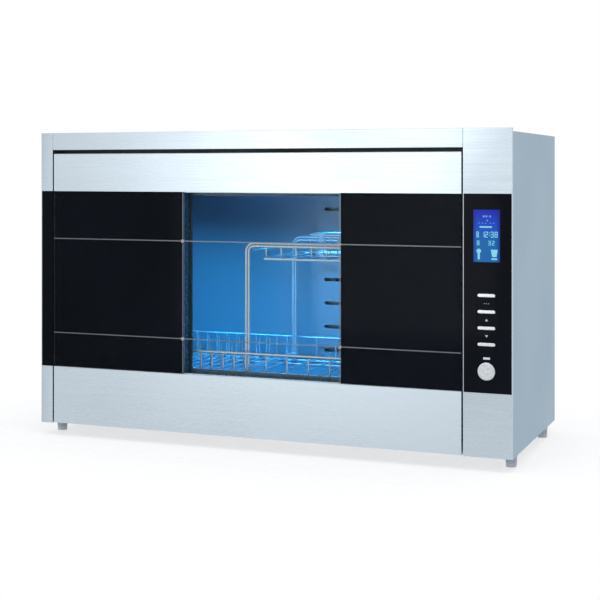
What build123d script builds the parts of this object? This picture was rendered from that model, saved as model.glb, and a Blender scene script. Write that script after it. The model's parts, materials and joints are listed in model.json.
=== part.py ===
from build123d import *

import os

# Dish sterilizer cabinet with a pull-out drawer front.
# Frame: +Z up, front faces -Y, +X to the right of someone facing the front.
# The origin is on the floor, under the middle of the cabinet.

# ---------------------------------------------------------------- driving dimensions (mm)
# Whole cabinet
WIDTH = 800.0  # outside width
FRONT_HEIGHT = 485.0  # front face, without the feet
DEPTH = 332.0  # front face to back cover
FOOT_HEIGHT = 20.0
CASING_DROP = 5.0  # the front stands this much above the casing
SHEET = 1.2  # formed steel of casing and front
LINER_SHEET = 1.0  # stainless sheet of chamber, trays and covers
EDGE_SEARCH = 0.01  # how near a plane an edge counts as lying on it
TOUCH = 0.3  # rest gap between pieces of different bodies
FLANGE = 12.0  # folded rear edge that screws go through
FRONT_FLANGE = 5.0  # folded front edge of the casing

# Front face
FACE_DEPTH = 5.0  # depth of the folded front plates
STILE_WIDTH = 22.0
COLUMN_WIDTH = 74.0
SEAM = 2.5  # gap each side of the drawer front
FASCIA_HEIGHT = 28.5
GROOVE_HEIGHT = 6.0  # finger groove over the drawer front
TRIM = 0.6  # strip that lines the groove
TRIM_SETBACK = 1.0
TRIM_DROP = 24.0  # how far its rear leg hangs down
GLASS_BOTTOM = 95.0  # above the front's bottom edge
GLASS_TOP = 97.0  # below the front's top edge
GLASS = 4.0  # pane thickness
FIXED_GAP = 0.3  # between neighbouring fixed front plates
PLAY = 0.15  # round lenses and panes set in openings

# Drawer front
DRAWER_THICK = 24.0
DRAWER_LIFT = 1.0  # drawer front's bottom edge above the front's bottom edge
LIP = 3.0  # thickness of the pull lip
TROUGH = 18.5  # depth of the finger trough behind the lip
WINDOW_LEFT = -135.0
WINDOW_RIGHT = 133.0
WINDOW_STEP = 5.0  # each frame of the window is this much narrower or wider than the next
PANE_INNER = 3.0
PRINT = 0.2  # black enamel on the back of the pane
SPACER_WALL = 11.0
GASKET = 3.8
GASKET_WIDTH = 6.0
GASKET_INSET = 1.0  # gasket to chamber mouth
PANEL_MARGIN = 3.0  # inner panel inside the drawer front's outline
LINE = 1.4  # width of an inlaid line on the pane
LINE_PROUD = 0.3
UPPER_LINE = 214.0  # height of the lines over the pane's bottom edge
LOWER_LINE = 57.0
STUD_DIAMETER = 7.0
STUD_PROUD = 1.4

# Controls
DISPLAY_WIDTH = 40.0
DISPLAY_HEIGHT = 77.0
DISPLAY_DROP = 23.4  # below the glass band's top edge
DISPLAY_BEZEL = 3.0
CONTROL_INSET = 38.5  # centre of display and buttons from the right edge
BUTTON_WIDTH = 27.0
BUTTON_HEIGHT = 5.0
BUTTON_DROP = 49.1  # highest key below the display
BUTTON_RISE = 39.5  # lowest key over the power key
BUTTON_PROUD = 1.7
BUTTON_TRAVEL = 1.2
BUTTON_FLANGE = 1.5
FLANGE_MARGIN = 1.0  # button flange wider than its hole
HOLE_PLAY = 0.3
STEM = 4.0
POWER_DIAMETER = 26.5
POWER_HEIGHT = 32.0  # power key over the glass band's bottom edge
POWER_PROUD = 2.4
INDICATOR_WIDTH = 10.0
INDICATOR_HEIGHT = 3.0
INDICATOR_RISE = 19.0  # over the power key
CARRIER = 2.0
BOARD = 1.6
SWITCH_SIDE = 6.0
SWITCH_HEIGHT = 3.5
SWITCH_GAP = 1.5  # stem to switch at rest
CARRIER_MARGIN = 7.0
POST = 6.0

# Chamber
MOUTH_MARGIN = 11.5  # chamber mouth inside the drawer front's sides
CHAMBER_BOTTOM = 40.0  # above the front's bottom edge
CHAMBER_TOP_DROP = 30.5  # below the drawer front's top edge
REAR_SPACE = 36.0  # chamber's back wall to the back cover
FLOOR_PLAY = 0.6

# Runners and carriage
RUNNER_THICK = 12.7
RUNNER_HEIGHT = 36.0
RUNNER_WALL = 1.5
RUNNER_GAP = 0.3
RUNNER_REAR_GAP = 14.0  # rails to the chamber's back wall
RUNNER_LIFT = 3.0  # above the chamber floor
RUNNER_SETBACK = 3.0  # behind the chamber mouth
LEDGE = 8.0
LEDGE_LIFT = 36.0  # ledge top above the chamber floor
BAR_HEIGHT = 11.0
CARRIAGE_HEIGHT = 44.0
TRAY_HEIGHT = 10.0
TRAY_FRONT_GAP = 19.8  # inner panel to drip tray
TRAY_REAR_GAP = 38.0  # drip tray to the chamber's back wall
BAR_GAP = 2.8  # drip tray to rear bar

# Racks
RIM_WIRE = 4.0
WIRE = 2.6
WELD = 0.3  # how far crossing wires sink into each other
LONG_WELD = 0.7  # the same where the long floor wires carry the cross wires
WIRE_BEND = 7.0
RACK_HEIGHT = 40.0
RACK_OVERHANG = 10.0  # rim of the lower rack outside its base wire
PLATE_PITCH = 20.0
BOWL_PITCH = 37.0
PLATE_END = -62.0  # x where the plate section of the rack ends
BOWL_START = -42.0
PEG_HEIGHT = 42.0
PEG_WIRE = 2.0
LONG_WIRE_INSET = 58.0  # long floor wires from the rack's front and rear
TIER_LEFT = -46.0  # left legs of the upper rack
TIER_TOP = 214.0  # top wires of the upper rack over the lower rack's floor
TIER_SUNK = 18.0
TIER_STEP = 5.0  # outer to inner frame wire
TIER_INSET = 14.0  # upper rack from the lower rack's front and rear rims
TIER_PITCH = 27.0
TIER_FIRST = 34.0  # first deck wire from the left legs
BASKET_LEFT = 58.0
BASKET_LENGTH = 132.0
BASKET_DEPTH = 84.0
BASKET_HEIGHT = 34.0
BASKET_RIM = 3.0
BASKET_WIRE = 2.0
BASKET_PITCH = 12.0
BASKET_OVERHANG = 9.0  # rim of the basket outside its base wire

# Lamp, heater, fan
LAMP_DIAMETER = 16.0
LAMP_LENGTH = 290.0
LAMP_CAP = 12.0
LAMP_CAP_OVER = 1.0
LAMP_DROP = 25.0  # lamp axis under the chamber ceiling
LAMP_FROM_BACK = 40.0
HOLDER_THICK = 10.0
HOLDER_WIDTH = 24.0
HOLDER_OVER = 5.0
REFLECTOR_WIDTH = 44.0
REFLECTOR_SIDE = 7.0
HEATER_DIAMETER = 10.0
HEATER_LENGTH = 380.0
HEATER_RISE = 14.0  # heater axis over the chamber floor
HEATER_GUARD_WIDTH = 46.0
HEATER_GUARD_HEIGHT = 27.0
HEATER_SLOTS = 15
SLOT_WIDTH = 6.0
FAN_SIDE = 80.0
FAN_BORE = 76.0
FAN_DEPTH = 25.0
FAN_HUB = 30.0
FAN_BLADES = 7
FAN_BLADE_THICK = 1.6
FAN_TIP_GAP = 1.5
FAN_BLADE_PITCH = 35.0  # degrees
FAN_BITE = 1.0  # how far struts and blades run into what holds them
FAN_SHAFT = 3.0
FAN_FIT = 0.05
FAN_Z = 190.0  # fan axis over the chamber floor
FAN_STRUT = 5.0
FAN_PLATE = 3.0
DUCT_LEFT = -9.0
DUCT_WIDTH = 130.0
DUCT_DEPTH = 16.0
DUCT_SLOTS = 9

# Electrics and small hardware
POWER_BOARD_SIZE = (140.0, 150.0)  # along Y and Z
POWER_BOARD_Y = -60.0
POWER_BOARD_RISE = 70.0  # over the chamber floor
POWER_PARTS = [  # corner along Y and Z from the board's corner, then size along Y, Z and height
    (12.0, 12.0, 22.0, 28.0, 20.0),
    (50.0, 16.0, 18.0, 18.0, 26.0),
    (84.0, 12.0, 40.0, 34.0, 24.0),
    (14.0, 96.0, 32.0, 14.0, 16.0),
    (64.0, 100.0, 56.0, 12.0, 12.0),
]
STANDOFF = 6.0
TRANSFORMER = (57.0, 30.0, 48.0)  # laminated core
TRANSFORMER_GAP = 17.0  # from the chamber's right wall
TRANSFORMER_Y = 20.0
TRANSFORMER_COIL = (31.0, 48.0, 28.0)
LAMP_BALLAST = (100.0, 40.0, 25.0)
LAMP_BALLAST_PLACE = (-100.0, 20.0)
OZONE_SIZE = (32.0, 50.0, 60.0)
OZONE_DROP = 40.0  # its top under the chamber ceiling
OZONE_FROM_BACK = 20.0  # its rear in front of the chamber's back wall
THERMOSTAT_DIAMETER = 16.0
THERMOSTAT_HEIGHT = 11.0
THERMOSTAT_PLACE = (100.0, 0.0)
SENSOR_LENGTH = 24.0
SENSOR_HEIGHT = 14.0
SENSOR_DEPTH = 11.0
SENSOR_INSET = 33.5  # from the drawer front's right edge
SENSOR_Z = 15.0  # above the front's bottom edge
MAGNET_LENGTH = 20.0
MAGNET_HEIGHT = 10.0
MAGNET_DEPTH = 6.0
FOOT_TOP = 19.0
FOOT_TIP = 15.5
FOOT_INSET = 12.0
FOOT_FRONT = 47.0
FOOT_REAR = 50.0
FOOT_SCREW = 6.0
FOOT_SCREW_HEAD = 11.0
FOOT_SCREW_HEAD_HEIGHT = 3.6
FOOT_SCREW_DEPTH = 12.0
SCREW = 3.9
SCREW_HEAD = 7.0
SCREW_HEAD_HEIGHT = 2.2
SCREW_LENGTH = 8.0
SCREW_PLAY = 0.1
SCREW_INSET = 7.5  # cover screws from the casing's edges
SCREW_RISE = 40.0  # lowest cover screws above the casing's bottom edge
GLAND_HEAD = 24.0
GLAND_BODY = 17.9
GLAND_BORE = 8.4
GLAND_PROUD = 2.2
GLAND_LENGTH = 16.0
GLAND_INSET = 40.0
GLAND_Z = 30.0
VENT_LENGTH = 60.0
VENT_HEIGHT = 4.0
VENT_PITCH = 10.0
VENT_ROWS = 6
VENT_RISE = 242.5  # lowest row over the casing's bottom edge
VENT_XS = (-260.0, -60.0)  # and one column behind the electrics

# ---------------------------------------------------------------- places worked out from them
HALF_WIDTH = WIDTH / 2
FRONT_Y = -DEPTH / 2
BACK_Y = DEPTH / 2
BODY_Z0 = FOOT_HEIGHT
BODY_Z1 = BODY_Z0 + FRONT_HEIGHT
CASING_Z1 = BODY_Z1 - CASING_DROP
CASING_Y0 = FRONT_Y + FACE_DEPTH
CASING_Y1 = BACK_Y - LINER_SHEET
INSIDE_X = HALF_WIDTH - SHEET

STILE_X1 = -HALF_WIDTH + STILE_WIDTH
COLUMN_X0 = HALF_WIDTH - COLUMN_WIDTH
DRAWER_X0 = STILE_X1 + SEAM
DRAWER_X1 = COLUMN_X0 - SEAM
FASCIA_Z0 = BODY_Z1 - FASCIA_HEIGHT
DRAWER_Z0 = BODY_Z0 + DRAWER_LIFT
DRAWER_Z1 = FASCIA_Z0 - GROOVE_HEIGHT
GLASS_Z0 = BODY_Z0 + GLASS_BOTTOM
GLASS_Z1 = BODY_Z1 - GLASS_TOP
GLASS_Y = FRONT_Y + GLASS  # back of the panes

DRAWER_BACK_Y = FRONT_Y + DRAWER_THICK
INNER_PANEL_Y = DRAWER_BACK_Y + SHEET  # back of the inner panel
FRAME_Y = INNER_PANEL_Y + GASKET  # front of the front frame and of the chamber
TROUGH_Z0 = DRAWER_Z1 - TROUGH
LINE_XS = [WINDOW_LEFT, WINDOW_RIGHT]
LINE_ZS = [GLASS_Z0 + LOWER_LINE, GLASS_Z0 + UPPER_LINE]

CHAMBER_X0 = DRAWER_X0 + MOUTH_MARGIN
CHAMBER_X1 = DRAWER_X1 - MOUTH_MARGIN
CHAMBER_Z0 = BODY_Z0 + CHAMBER_BOTTOM
CHAMBER_Z1 = DRAWER_Z1 - CHAMBER_TOP_DROP
CHAMBER_Y1 = BACK_Y - REAR_SPACE
CHAMBER_MID = (CHAMBER_X0 + CHAMBER_X1) / 2

RUNNER_Z0 = CHAMBER_Z0 + RUNNER_LIFT
RUNNER_Y0 = FRAME_Y + RUNNER_SETBACK
RUNNER_LENGTH = CHAMBER_Y1 - RUNNER_REAR_GAP - RUNNER_Y0
SIDE_X0 = CHAMBER_X0 + RUNNER_THICK  # outside faces of the carriage
SIDE_X1 = CHAMBER_X1 - RUNNER_THICK
LEDGE_Z = CHAMBER_Z0 + LEDGE_LIFT
CARRIAGE_Z1 = CHAMBER_Z0 + CARRIAGE_HEIGHT
TRAY_X0 = SIDE_X0 + SHEET + FLOOR_PLAY
TRAY_X1 = SIDE_X1 - SHEET - FLOOR_PLAY
TRAY_Y0 = INNER_PANEL_Y + TRAY_FRONT_GAP
TRAY_Y1 = CHAMBER_Y1 - TRAY_REAR_GAP
TRAY_Z1 = LEDGE_Z + TRAY_HEIGHT

RACK_BASE_Z = TRAY_Z1 + TOUCH + RIM_WIRE / 2  # axis of the rack's base wire
RACK_X0 = TRAY_X0 - RACK_OVERHANG + LINER_SHEET / 2
RACK_X1 = TRAY_X1 + RACK_OVERHANG - LINER_SHEET / 2
RACK_Y0 = TRAY_Y0 - RACK_OVERHANG + LINER_SHEET / 2
RACK_Y1 = TRAY_Y1 + RACK_OVERHANG - LINER_SHEET / 2
RIM_Z = RACK_BASE_Z + RACK_HEIGHT
HANG = (RIM_WIRE + WIRE) / 2 - WELD  # rim axis to the axis of a wire welded inside it
RACK_FLOOR_Z = RACK_BASE_Z + HANG  # axis of the cross wires on the rack's floor
FLOOR_X0 = RACK_X0 + 2 * WIRE_BEND + RACK_OVERHANG  # first cross wire
FLOOR_X1 = RACK_X1 - 2 * WIRE_BEND - RACK_OVERHANG  # last cross wire
TIER_Y0 = RACK_Y0 + TIER_INSET
TIER_Y1 = RACK_Y1 - TIER_INSET
TIER_FOOT_Z = RACK_FLOOR_Z + WIRE / 2 + TOUCH
TIER_Z = RACK_FLOOR_Z + TIER_TOP
DECK_Z = TIER_Z - TIER_STEP - TIER_SUNK  # axis of the cross wires in the sunk deck

CONTROL_X = HALF_WIDTH - CONTROL_INSET
DISPLAY_Z0 = GLASS_Z1 - DISPLAY_DROP - DISPLAY_HEIGHT
POWER_Z = GLASS_Z0 + POWER_HEIGHT
BUTTON_NAMES = ["clock_button", "up_button", "down_button", "menu_button"]
BUTTON_Z1 = DISPLAY_Z0 - BUTTON_DROP
BUTTON_PITCH = (BUTTON_Z1 - POWER_Z - BUTTON_RISE) / (len(BUTTON_NAMES) - 1)
BUTTON_ZS = [BUTTON_Z1 - i * BUTTON_PITCH for i in range(len(BUTTON_NAMES))]
INDICATOR_MID_Z = POWER_Z + INDICATOR_RISE
BUTTON_BACK_Y = GLASS_Y + TOUCH + BUTTON_FLANGE  # back of the button flanges
CARRIER_Y = BUTTON_BACK_Y + BUTTON_TRAVEL + TOUCH  # front of the carrier plate
STEM_END_Y = CARRIER_Y + CARRIER + SWITCH_GAP
BOARD_Y = STEM_END_Y + SWITCH_GAP + SWITCH_HEIGHT  # front of the control board
CARRIER_X0 = COLUMN_X0 + CARRIER_MARGIN + PLAY
CARRIER_X1 = HALF_WIDTH - CARRIER_MARGIN - PLAY
CARRIER_Z0 = GLASS_Z0 + CARRIER_MARGIN + PLAY
CARRIER_Z1 = GLASS_Z1 - CARRIER_MARGIN - PLAY

FAN_X = DUCT_LEFT + DUCT_WIDTH / 2
FAN_AXIS_Z = CHAMBER_Z0 + FAN_Z
FAN_Y0 = CHAMBER_Y1 + LINER_SHEET
LAMP_Y = CHAMBER_Y1 - LAMP_FROM_BACK
LAMP_Z = CHAMBER_Z1 - LAMP_DROP
HEATER_Z = CHAMBER_Z0 + HEATER_RISE
HEATER_Y = (RACK_Y0 + RACK_Y1) / 2
BAY_X0 = CHAMBER_X1 + LINER_SHEET  # outside of the chamber's right wall
CEILING_Z = CHAMBER_Z1 + LINER_SHEET  # outside of the chamber's ceiling
SENSOR_MID_X = DRAWER_X1 - SENSOR_INSET

GLAND_X = HALF_WIDTH - GLAND_INSET
GLAND_AXIS_Z = BODY_Z0 + GLAND_Z
COVER_SCREW_ZS = [BODY_Z0 + SCREW_RISE, (BODY_Z0 + CASING_Z1) / 2, CASING_Z1 - SCREW_INSET]
COVER_SCREWS = [
    (side * (HALF_WIDTH - SCREW_INSET), z) for side in (-1, 1) for z in COVER_SCREW_ZS
] + [(0.0, COVER_SCREW_ZS[-1])]

FOOT_PLACES = [
    (side * (HALF_WIDTH - FOOT_INSET), y)
    for side in (-1, 1)
    for y in (FRONT_Y + FOOT_FRONT, BACK_Y - FOOT_REAR)
]


# ---------------------------------------------------------------- helpers
def block(x0, x1, y0, y1, z0, z1):
    """Box between two corners."""
    middle = Pos((x0 + x1) / 2, (y0 + y1) / 2, (z0 + z1) / 2)
    return middle * Box(x1 - x0, y1 - y0, z1 - z0)


def facing(outline, x, z, y0, y1):
    """Outline drawn as seen from the front, standing from y0 back to y1."""
    plane = Plane(origin=(x, y1, z), x_dir=(1, 0, 0), z_dir=(0, -1, 0))
    return extrude(plane * outline, amount=y1 - y0)


def rod(start, end, diameter):
    """Straight round bar from start to end."""
    line = Line(start, end)
    return sweep(Plane(origin=line @ 0, z_dir=line % 0) * Circle(diameter / 2), path=line)


def bent_wire(points, bend, diameter):
    """Round wire along straight runs with rounded corners."""
    path = FilletPolyline(points, radius=bend)
    return sweep(Plane(origin=path @ 0, z_dir=path % 0) * Circle(diameter / 2), path=path)


def loop_wire(x0, x1, y0, y1, z, bend, diameter):
    """Closed rectangular wire lying flat, bent as two halves that meet in its long runs."""
    middle = (x0 + x1) / 2
    halves = [bent_wire([(middle, y0, z), (x, y0, z), (x, y1, z), (middle, y1, z)],
                        bend, diameter) for x in (x0, x1)]
    return halves[0] + halves[1]


def edges_at(shape, y):
    """Edges of a shape that lie in the upright plane at y."""
    return shape.edges().filter_by_position(Axis.Y, y - EDGE_SEARCH, y + EDGE_SEARCH)


def spread(start, end, pitch):
    """Evenly spaced places from start to end, about one pitch apart."""
    steps = max(1, round((end - start) / pitch))
    return [start + i * (end - start) / steps for i in range(steps + 1)]


def as_one(pieces):
    """Fuse a list of touching shapes in one go."""
    return Part() + pieces


def save(name, shape):
    """Write one node; a list becomes a group of separate solids."""
    if isinstance(shape, list):
        shape = Compound(children=[Compound(piece.solids()) for piece in shape])
    export_step(shape, f"parts/{name}.step")


# ---------------------------------------------------------------- casing
def make_outer_casing():
    shell = block(-HALF_WIDTH, HALF_WIDTH, CASING_Y0, CASING_Y1, BODY_Z0, CASING_Z1)
    inside_z1 = CASING_Z1 - SHEET
    for flange, y0, y1 in ((FRONT_FLANGE, CASING_Y0, CASING_Y0 + SHEET),
                           (FLANGE, CASING_Y1 - SHEET, CASING_Y1)):
        shell -= block(-INSIDE_X + flange, INSIDE_X - flange, y0, y1, BODY_Z0, inside_z1 - flange)
    shell -= block(-INSIDE_X, INSIDE_X, CASING_Y0 + SHEET, CASING_Y1 - SHEET,
                   BODY_Z0, inside_z1)
    shell -= block(-INSIDE_X, INSIDE_X, CASING_Y0, CASING_Y1, BODY_Z0, BODY_Z0 + SHEET)
    return shell - back_screw_shafts(SCREW + 2 * SCREW_PLAY)


def make_base_pan():
    pan = block(-INSIDE_X, INSIDE_X, CASING_Y0, CASING_Y1, BODY_Z0, BODY_Z0 + SHEET)
    pan -= block(STILE_X1 - SHEET, COLUMN_X0 + SHEET, CASING_Y0, FRAME_Y, BODY_Z0, BODY_Z0 + SHEET)
    for x, y in FOOT_PLACES:
        pan -= Pos(x, y, BODY_Z0 + SHEET / 2) * Cylinder(FOOT_SCREW / 2 + SCREW_PLAY, 2 * SHEET)
    return pan


def make_front_frame():
    frame = block(-INSIDE_X, INSIDE_X, FRAME_Y, FRAME_Y + SHEET,
                  BODY_Z0 + SHEET, CASING_Z1 - SHEET)
    return frame - block(CHAMBER_X0 - LINER_SHEET, CHAMBER_X1 + LINER_SHEET,
                         FRAME_Y, FRAME_Y + SHEET,
                         CHAMBER_Z0 - LINER_SHEET, CHAMBER_Z1 + LINER_SHEET)


def back_screw_shafts(diameter):
    return [facing(Circle(diameter / 2), x, z, BACK_Y - SCREW_LENGTH, BACK_Y)
            for x, z in COVER_SCREWS]


def make_back_cover():
    cover = block(-HALF_WIDTH + SHEET, HALF_WIDTH - SHEET, CASING_Y1, BACK_Y,
                  BODY_Z0 + SHEET, CASING_Z1 - SHEET)
    vents = []
    for x in VENT_XS + ((BAY_X0 + INSIDE_X) / 2,):
        for row in range(VENT_ROWS):
            z = BODY_Z0 + VENT_RISE + row * VENT_PITCH
            width = min(VENT_LENGTH, 2 * (INSIDE_X - FLANGE - abs(x)))
            vents.append(facing(SlotOverall(width, VENT_HEIGHT), x, z, CASING_Y1, BACK_Y))
    gland = facing(Circle(GLAND_BODY / 2 + SCREW_PLAY), GLAND_X, GLAND_AXIS_Z, CASING_Y1, BACK_Y)
    return cover - vents - gland - back_screw_shafts(SCREW + 2 * SCREW_PLAY)


def make_cord_gland():
    head = facing(Circle(GLAND_HEAD / 2), GLAND_X, GLAND_AXIS_Z, BACK_Y, BACK_Y + GLAND_PROUD)
    body = facing(Circle(GLAND_BODY / 2), GLAND_X, GLAND_AXIS_Z, BACK_Y - GLAND_LENGTH, BACK_Y)
    bore = facing(Circle(GLAND_BORE / 2), GLAND_X, GLAND_AXIS_Z,
                  BACK_Y - GLAND_LENGTH, BACK_Y + GLAND_PROUD)
    return head + body - bore


def make_casing_screws():
    screws = []
    for (x, z), shaft in zip(COVER_SCREWS, back_screw_shafts(SCREW)):
        head = facing(Circle(SCREW_HEAD / 2), x, z, BACK_Y, BACK_Y + SCREW_HEAD_HEIGHT)
        screws.append(head + shaft)
    return screws


def make_feet():
    feet = []
    for x, y in FOOT_PLACES:
        foot = Pos(x, y, FOOT_HEIGHT / 2) * Cone(FOOT_TIP / 2, FOOT_TOP / 2, FOOT_HEIGHT)
        bore_z = FOOT_HEIGHT - FOOT_SCREW_DEPTH / 2
        foot -= Pos(x, y, bore_z) * Cylinder(FOOT_SCREW / 2 + SCREW_PLAY, FOOT_SCREW_DEPTH)
        feet.append(foot)
    return feet


def make_foot_screws():
    screws = []
    shaft_z0 = FOOT_HEIGHT - FOOT_SCREW_DEPTH + TOUCH
    head_z0 = BODY_Z0 + SHEET
    for x, y in FOOT_PLACES:
        shaft = Pos(x, y, (shaft_z0 + head_z0) / 2) * Cylinder(FOOT_SCREW / 2, head_z0 - shaft_z0)
        head_z = head_z0 + FOOT_SCREW_HEAD_HEIGHT / 2
        head = Pos(x, y, head_z) * Cylinder(FOOT_SCREW_HEAD / 2, FOOT_SCREW_HEAD_HEIGHT)
        screws.append(shaft + head)
    return screws


# ---------------------------------------------------------------- fixed front plates
def front_plate(x0, x1, z0, z1):
    """Folded plate, open to the rear, with its front on the front face."""
    plate = block(x0, x1, FRONT_Y, CASING_Y0, z0, z1)
    return plate - block(x0 + SHEET, x1 - SHEET, FRONT_Y + SHEET, CASING_Y0, z0 + SHEET, z1 - SHEET)


def glass_seat(x0, x1):
    """Recess for a pane with a thin back, added to a front plate."""
    back = block(x0, x1, GLASS_Y, CASING_Y0, GLASS_Z0 - SHEET, GLASS_Z1 + SHEET)
    shelves = [block(x0, x1, FRONT_Y, CASING_Y0, z, z + SHEET)
               for z in (GLASS_Z0 - SHEET, GLASS_Z1)]
    return as_one([back] + shelves)


def seam_wall(x0):
    """Folded edge beside the drawer front, from a front plate back to the front frame."""
    return block(x0, x0 + SHEET, CASING_Y0, FRAME_Y, BODY_Z0, CASING_Z1 - SHEET - FRONT_FLANGE)


def make_left_stile():
    stile = front_plate(-HALF_WIDTH, STILE_X1, BODY_Z0, BODY_Z1)
    stile += glass_seat(-HALF_WIDTH, STILE_X1)
    stile -= block(-INSIDE_X, STILE_X1, FRONT_Y, GLASS_Y, GLASS_Z0, GLASS_Z1)
    return stile + seam_wall(STILE_X1 - SHEET)


def make_left_stile_glass():
    return block(-INSIDE_X + PLAY, STILE_X1, FRONT_Y, GLASS_Y, GLASS_Z0 + PLAY, GLASS_Z1 - PLAY)


def make_top_fascia():
    x0 = STILE_X1 + FIXED_GAP
    x1 = COLUMN_X0 - FIXED_GAP
    plate = front_plate(x0, x1, FASCIA_Z0, BODY_Z1)
    return plate + block(x0, x1, CASING_Y0, FRAME_Y, FASCIA_Z0, FASCIA_Z0 + SHEET)


def make_groove_trim():
    x0 = STILE_X1 + FIXED_GAP
    x1 = COLUMN_X0 - FIXED_GAP
    top = block(x0, x1, FRONT_Y + TRIM_SETBACK, FRAME_Y, FASCIA_Z0 - TRIM, FASCIA_Z0)
    rear = block(x0, x1, FRAME_Y - 2 * TRIM, FRAME_Y, FASCIA_Z0 - TRIM_DROP, FASCIA_Z0)
    return top + rear


def make_control_column():
    column = front_plate(COLUMN_X0, HALF_WIDTH, BODY_Z0, BODY_Z1)
    column += glass_seat(COLUMN_X0, HALF_WIDTH)
    column -= block(COLUMN_X0 + SHEET, INSIDE_X, FRONT_Y, GLASS_Y, GLASS_Z0, GLASS_Z1)
    column += seam_wall(COLUMN_X0)
    return column - block(COLUMN_X0 + CARRIER_MARGIN, HALF_WIDTH - CARRIER_MARGIN,
                          GLASS_Y, CASING_Y0,
                          GLASS_Z0 + CARRIER_MARGIN, GLASS_Z1 - CARRIER_MARGIN)


def make_control_glass():
    pane = block(COLUMN_X0 + SHEET + PLAY, INSIDE_X - PLAY, FRONT_Y, GLASS_Y,
                 GLASS_Z0 + PLAY, GLASS_Z1 - PLAY)
    pane -= display_block(FRONT_Y, GLASS_Y, PLAY)
    for z in BUTTON_ZS:
        hole = SlotOverall(BUTTON_WIDTH + 2 * HOLE_PLAY, BUTTON_HEIGHT + 2 * HOLE_PLAY)
        pane -= facing(hole, CONTROL_X, z, FRONT_Y, GLASS_Y)
    pane -= facing(Circle(POWER_DIAMETER / 2 + HOLE_PLAY), CONTROL_X, POWER_Z, FRONT_Y, GLASS_Y)
    slot = Rectangle(INDICATOR_WIDTH + 2 * PLAY, INDICATOR_HEIGHT + 2 * PLAY)
    return pane - facing(slot, CONTROL_X, INDICATOR_MID_Z, FRONT_Y, GLASS_Y)


def display_block(y0, y1, margin):
    return block(CONTROL_X - DISPLAY_WIDTH / 2 - margin, CONTROL_X + DISPLAY_WIDTH / 2 + margin,
                 y0, y1, DISPLAY_Z0 - margin, DISPLAY_Z0 + DISPLAY_HEIGHT + margin)


def make_indicator_lens():
    shape = Rectangle(INDICATOR_WIDTH, INDICATOR_HEIGHT)
    return facing(shape, CONTROL_X, INDICATOR_MID_Z, FRONT_Y, CARRIER_Y)


def make_push_button(z):
    """Oblong key: crowned cap, retaining flange behind the pane and a stem."""
    cap = facing(SlotOverall(BUTTON_WIDTH, BUTTON_HEIGHT), CONTROL_X, z,
                 FRONT_Y - BUTTON_PROUD, BUTTON_BACK_Y)
    cap = fillet(edges_at(cap, FRONT_Y - BUTTON_PROUD), BUTTON_PROUD / 2)
    flange_shape = SlotOverall(BUTTON_WIDTH + 2 * (HOLE_PLAY + FLANGE_MARGIN),
                               BUTTON_HEIGHT + 2 * (HOLE_PLAY + FLANGE_MARGIN))
    flange = facing(flange_shape, CONTROL_X, z, GLASS_Y + TOUCH, BUTTON_BACK_Y)
    stem = facing(Circle(STEM / 2), CONTROL_X, z, BUTTON_BACK_Y, STEM_END_Y)
    return as_one([cap, flange, stem])


def make_power_button():
    """Round key with a shallow bowl-shaped bevel round its face."""
    front = FRONT_Y - POWER_PROUD
    cap = facing(Circle(POWER_DIAMETER / 2), CONTROL_X, POWER_Z, front, BUTTON_BACK_Y)
    cap = fillet(edges_at(cap, front), POWER_PROUD / 2)
    flange = facing(Circle(POWER_DIAMETER / 2 + HOLE_PLAY + FLANGE_MARGIN), CONTROL_X, POWER_Z,
                    GLASS_Y + TOUCH, BUTTON_BACK_Y)
    stem = facing(Circle(STEM / 2), CONTROL_X, POWER_Z, BUTTON_BACK_Y, STEM_END_Y)
    return as_one([cap, flange, stem])


def make_button_carrier():
    """Plastic tray bonded to the pane's back; it guides the stems and holds the board."""
    tray = block(CARRIER_X0, CARRIER_X1, GLASS_Y, CARRIER_Y + CARRIER, CARRIER_Z0, CARRIER_Z1)
    tray -= block(CARRIER_X0 + CARRIER, CARRIER_X1 - CARRIER, GLASS_Y, CARRIER_Y,
                  CARRIER_Z0 + CARRIER, CARRIER_Z1 - CARRIER)
    tray -= display_block(CARRIER_Y, CARRIER_Y + CARRIER, DISPLAY_BEZEL + PLAY)
    for z in BUTTON_ZS + [POWER_Z]:
        tray -= facing(Circle(STEM / 2 + HOLE_PLAY), CONTROL_X, z, CARRIER_Y, CARRIER_Y + CARRIER)
    for x in (CARRIER_X0 + POST, CARRIER_X1 - POST):
        for z in (CARRIER_Z0 + POST, CARRIER_Z1 - POST):
            tray += facing(Circle(POST / 2), x, z, CARRIER_Y + CARRIER, BOARD_Y)
    return tray


def make_control_board():
    """Populated board: the board itself and one dome switch behind each key."""
    board = block(CARRIER_X0, CARRIER_X1, BOARD_Y, BOARD_Y + BOARD, CARRIER_Z0, CARRIER_Z1)
    switches = [facing(Rectangle(SWITCH_SIDE, SWITCH_SIDE), CONTROL_X, z,
                       BOARD_Y - SWITCH_HEIGHT, BOARD_Y) for z in BUTTON_ZS + [POWER_Z]]
    return [board] + switches


# ---------------------------------------------------------------- chamber
def make_chamber_wrap():
    wrap = block(CHAMBER_X0 - LINER_SHEET, CHAMBER_X1 + LINER_SHEET, FRAME_Y,
                 CHAMBER_Y1 + LINER_SHEET, CHAMBER_Z0 - LINER_SHEET, CHAMBER_Z1 + LINER_SHEET)
    return wrap - block(CHAMBER_X0, CHAMBER_X1, FRAME_Y, CHAMBER_Y1 + LINER_SHEET,
                        CHAMBER_Z0, CHAMBER_Z1)


def make_chamber_back_wall():
    wall = block(CHAMBER_X0, CHAMBER_X1, CHAMBER_Y1, CHAMBER_Y1 + LINER_SHEET,
                 CHAMBER_Z0, CHAMBER_Z1)
    hole = Circle(FAN_BORE / 2)
    return wall - facing(hole, FAN_X, FAN_AXIS_Z, CHAMBER_Y1, CHAMBER_Y1 + LINER_SHEET)


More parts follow.
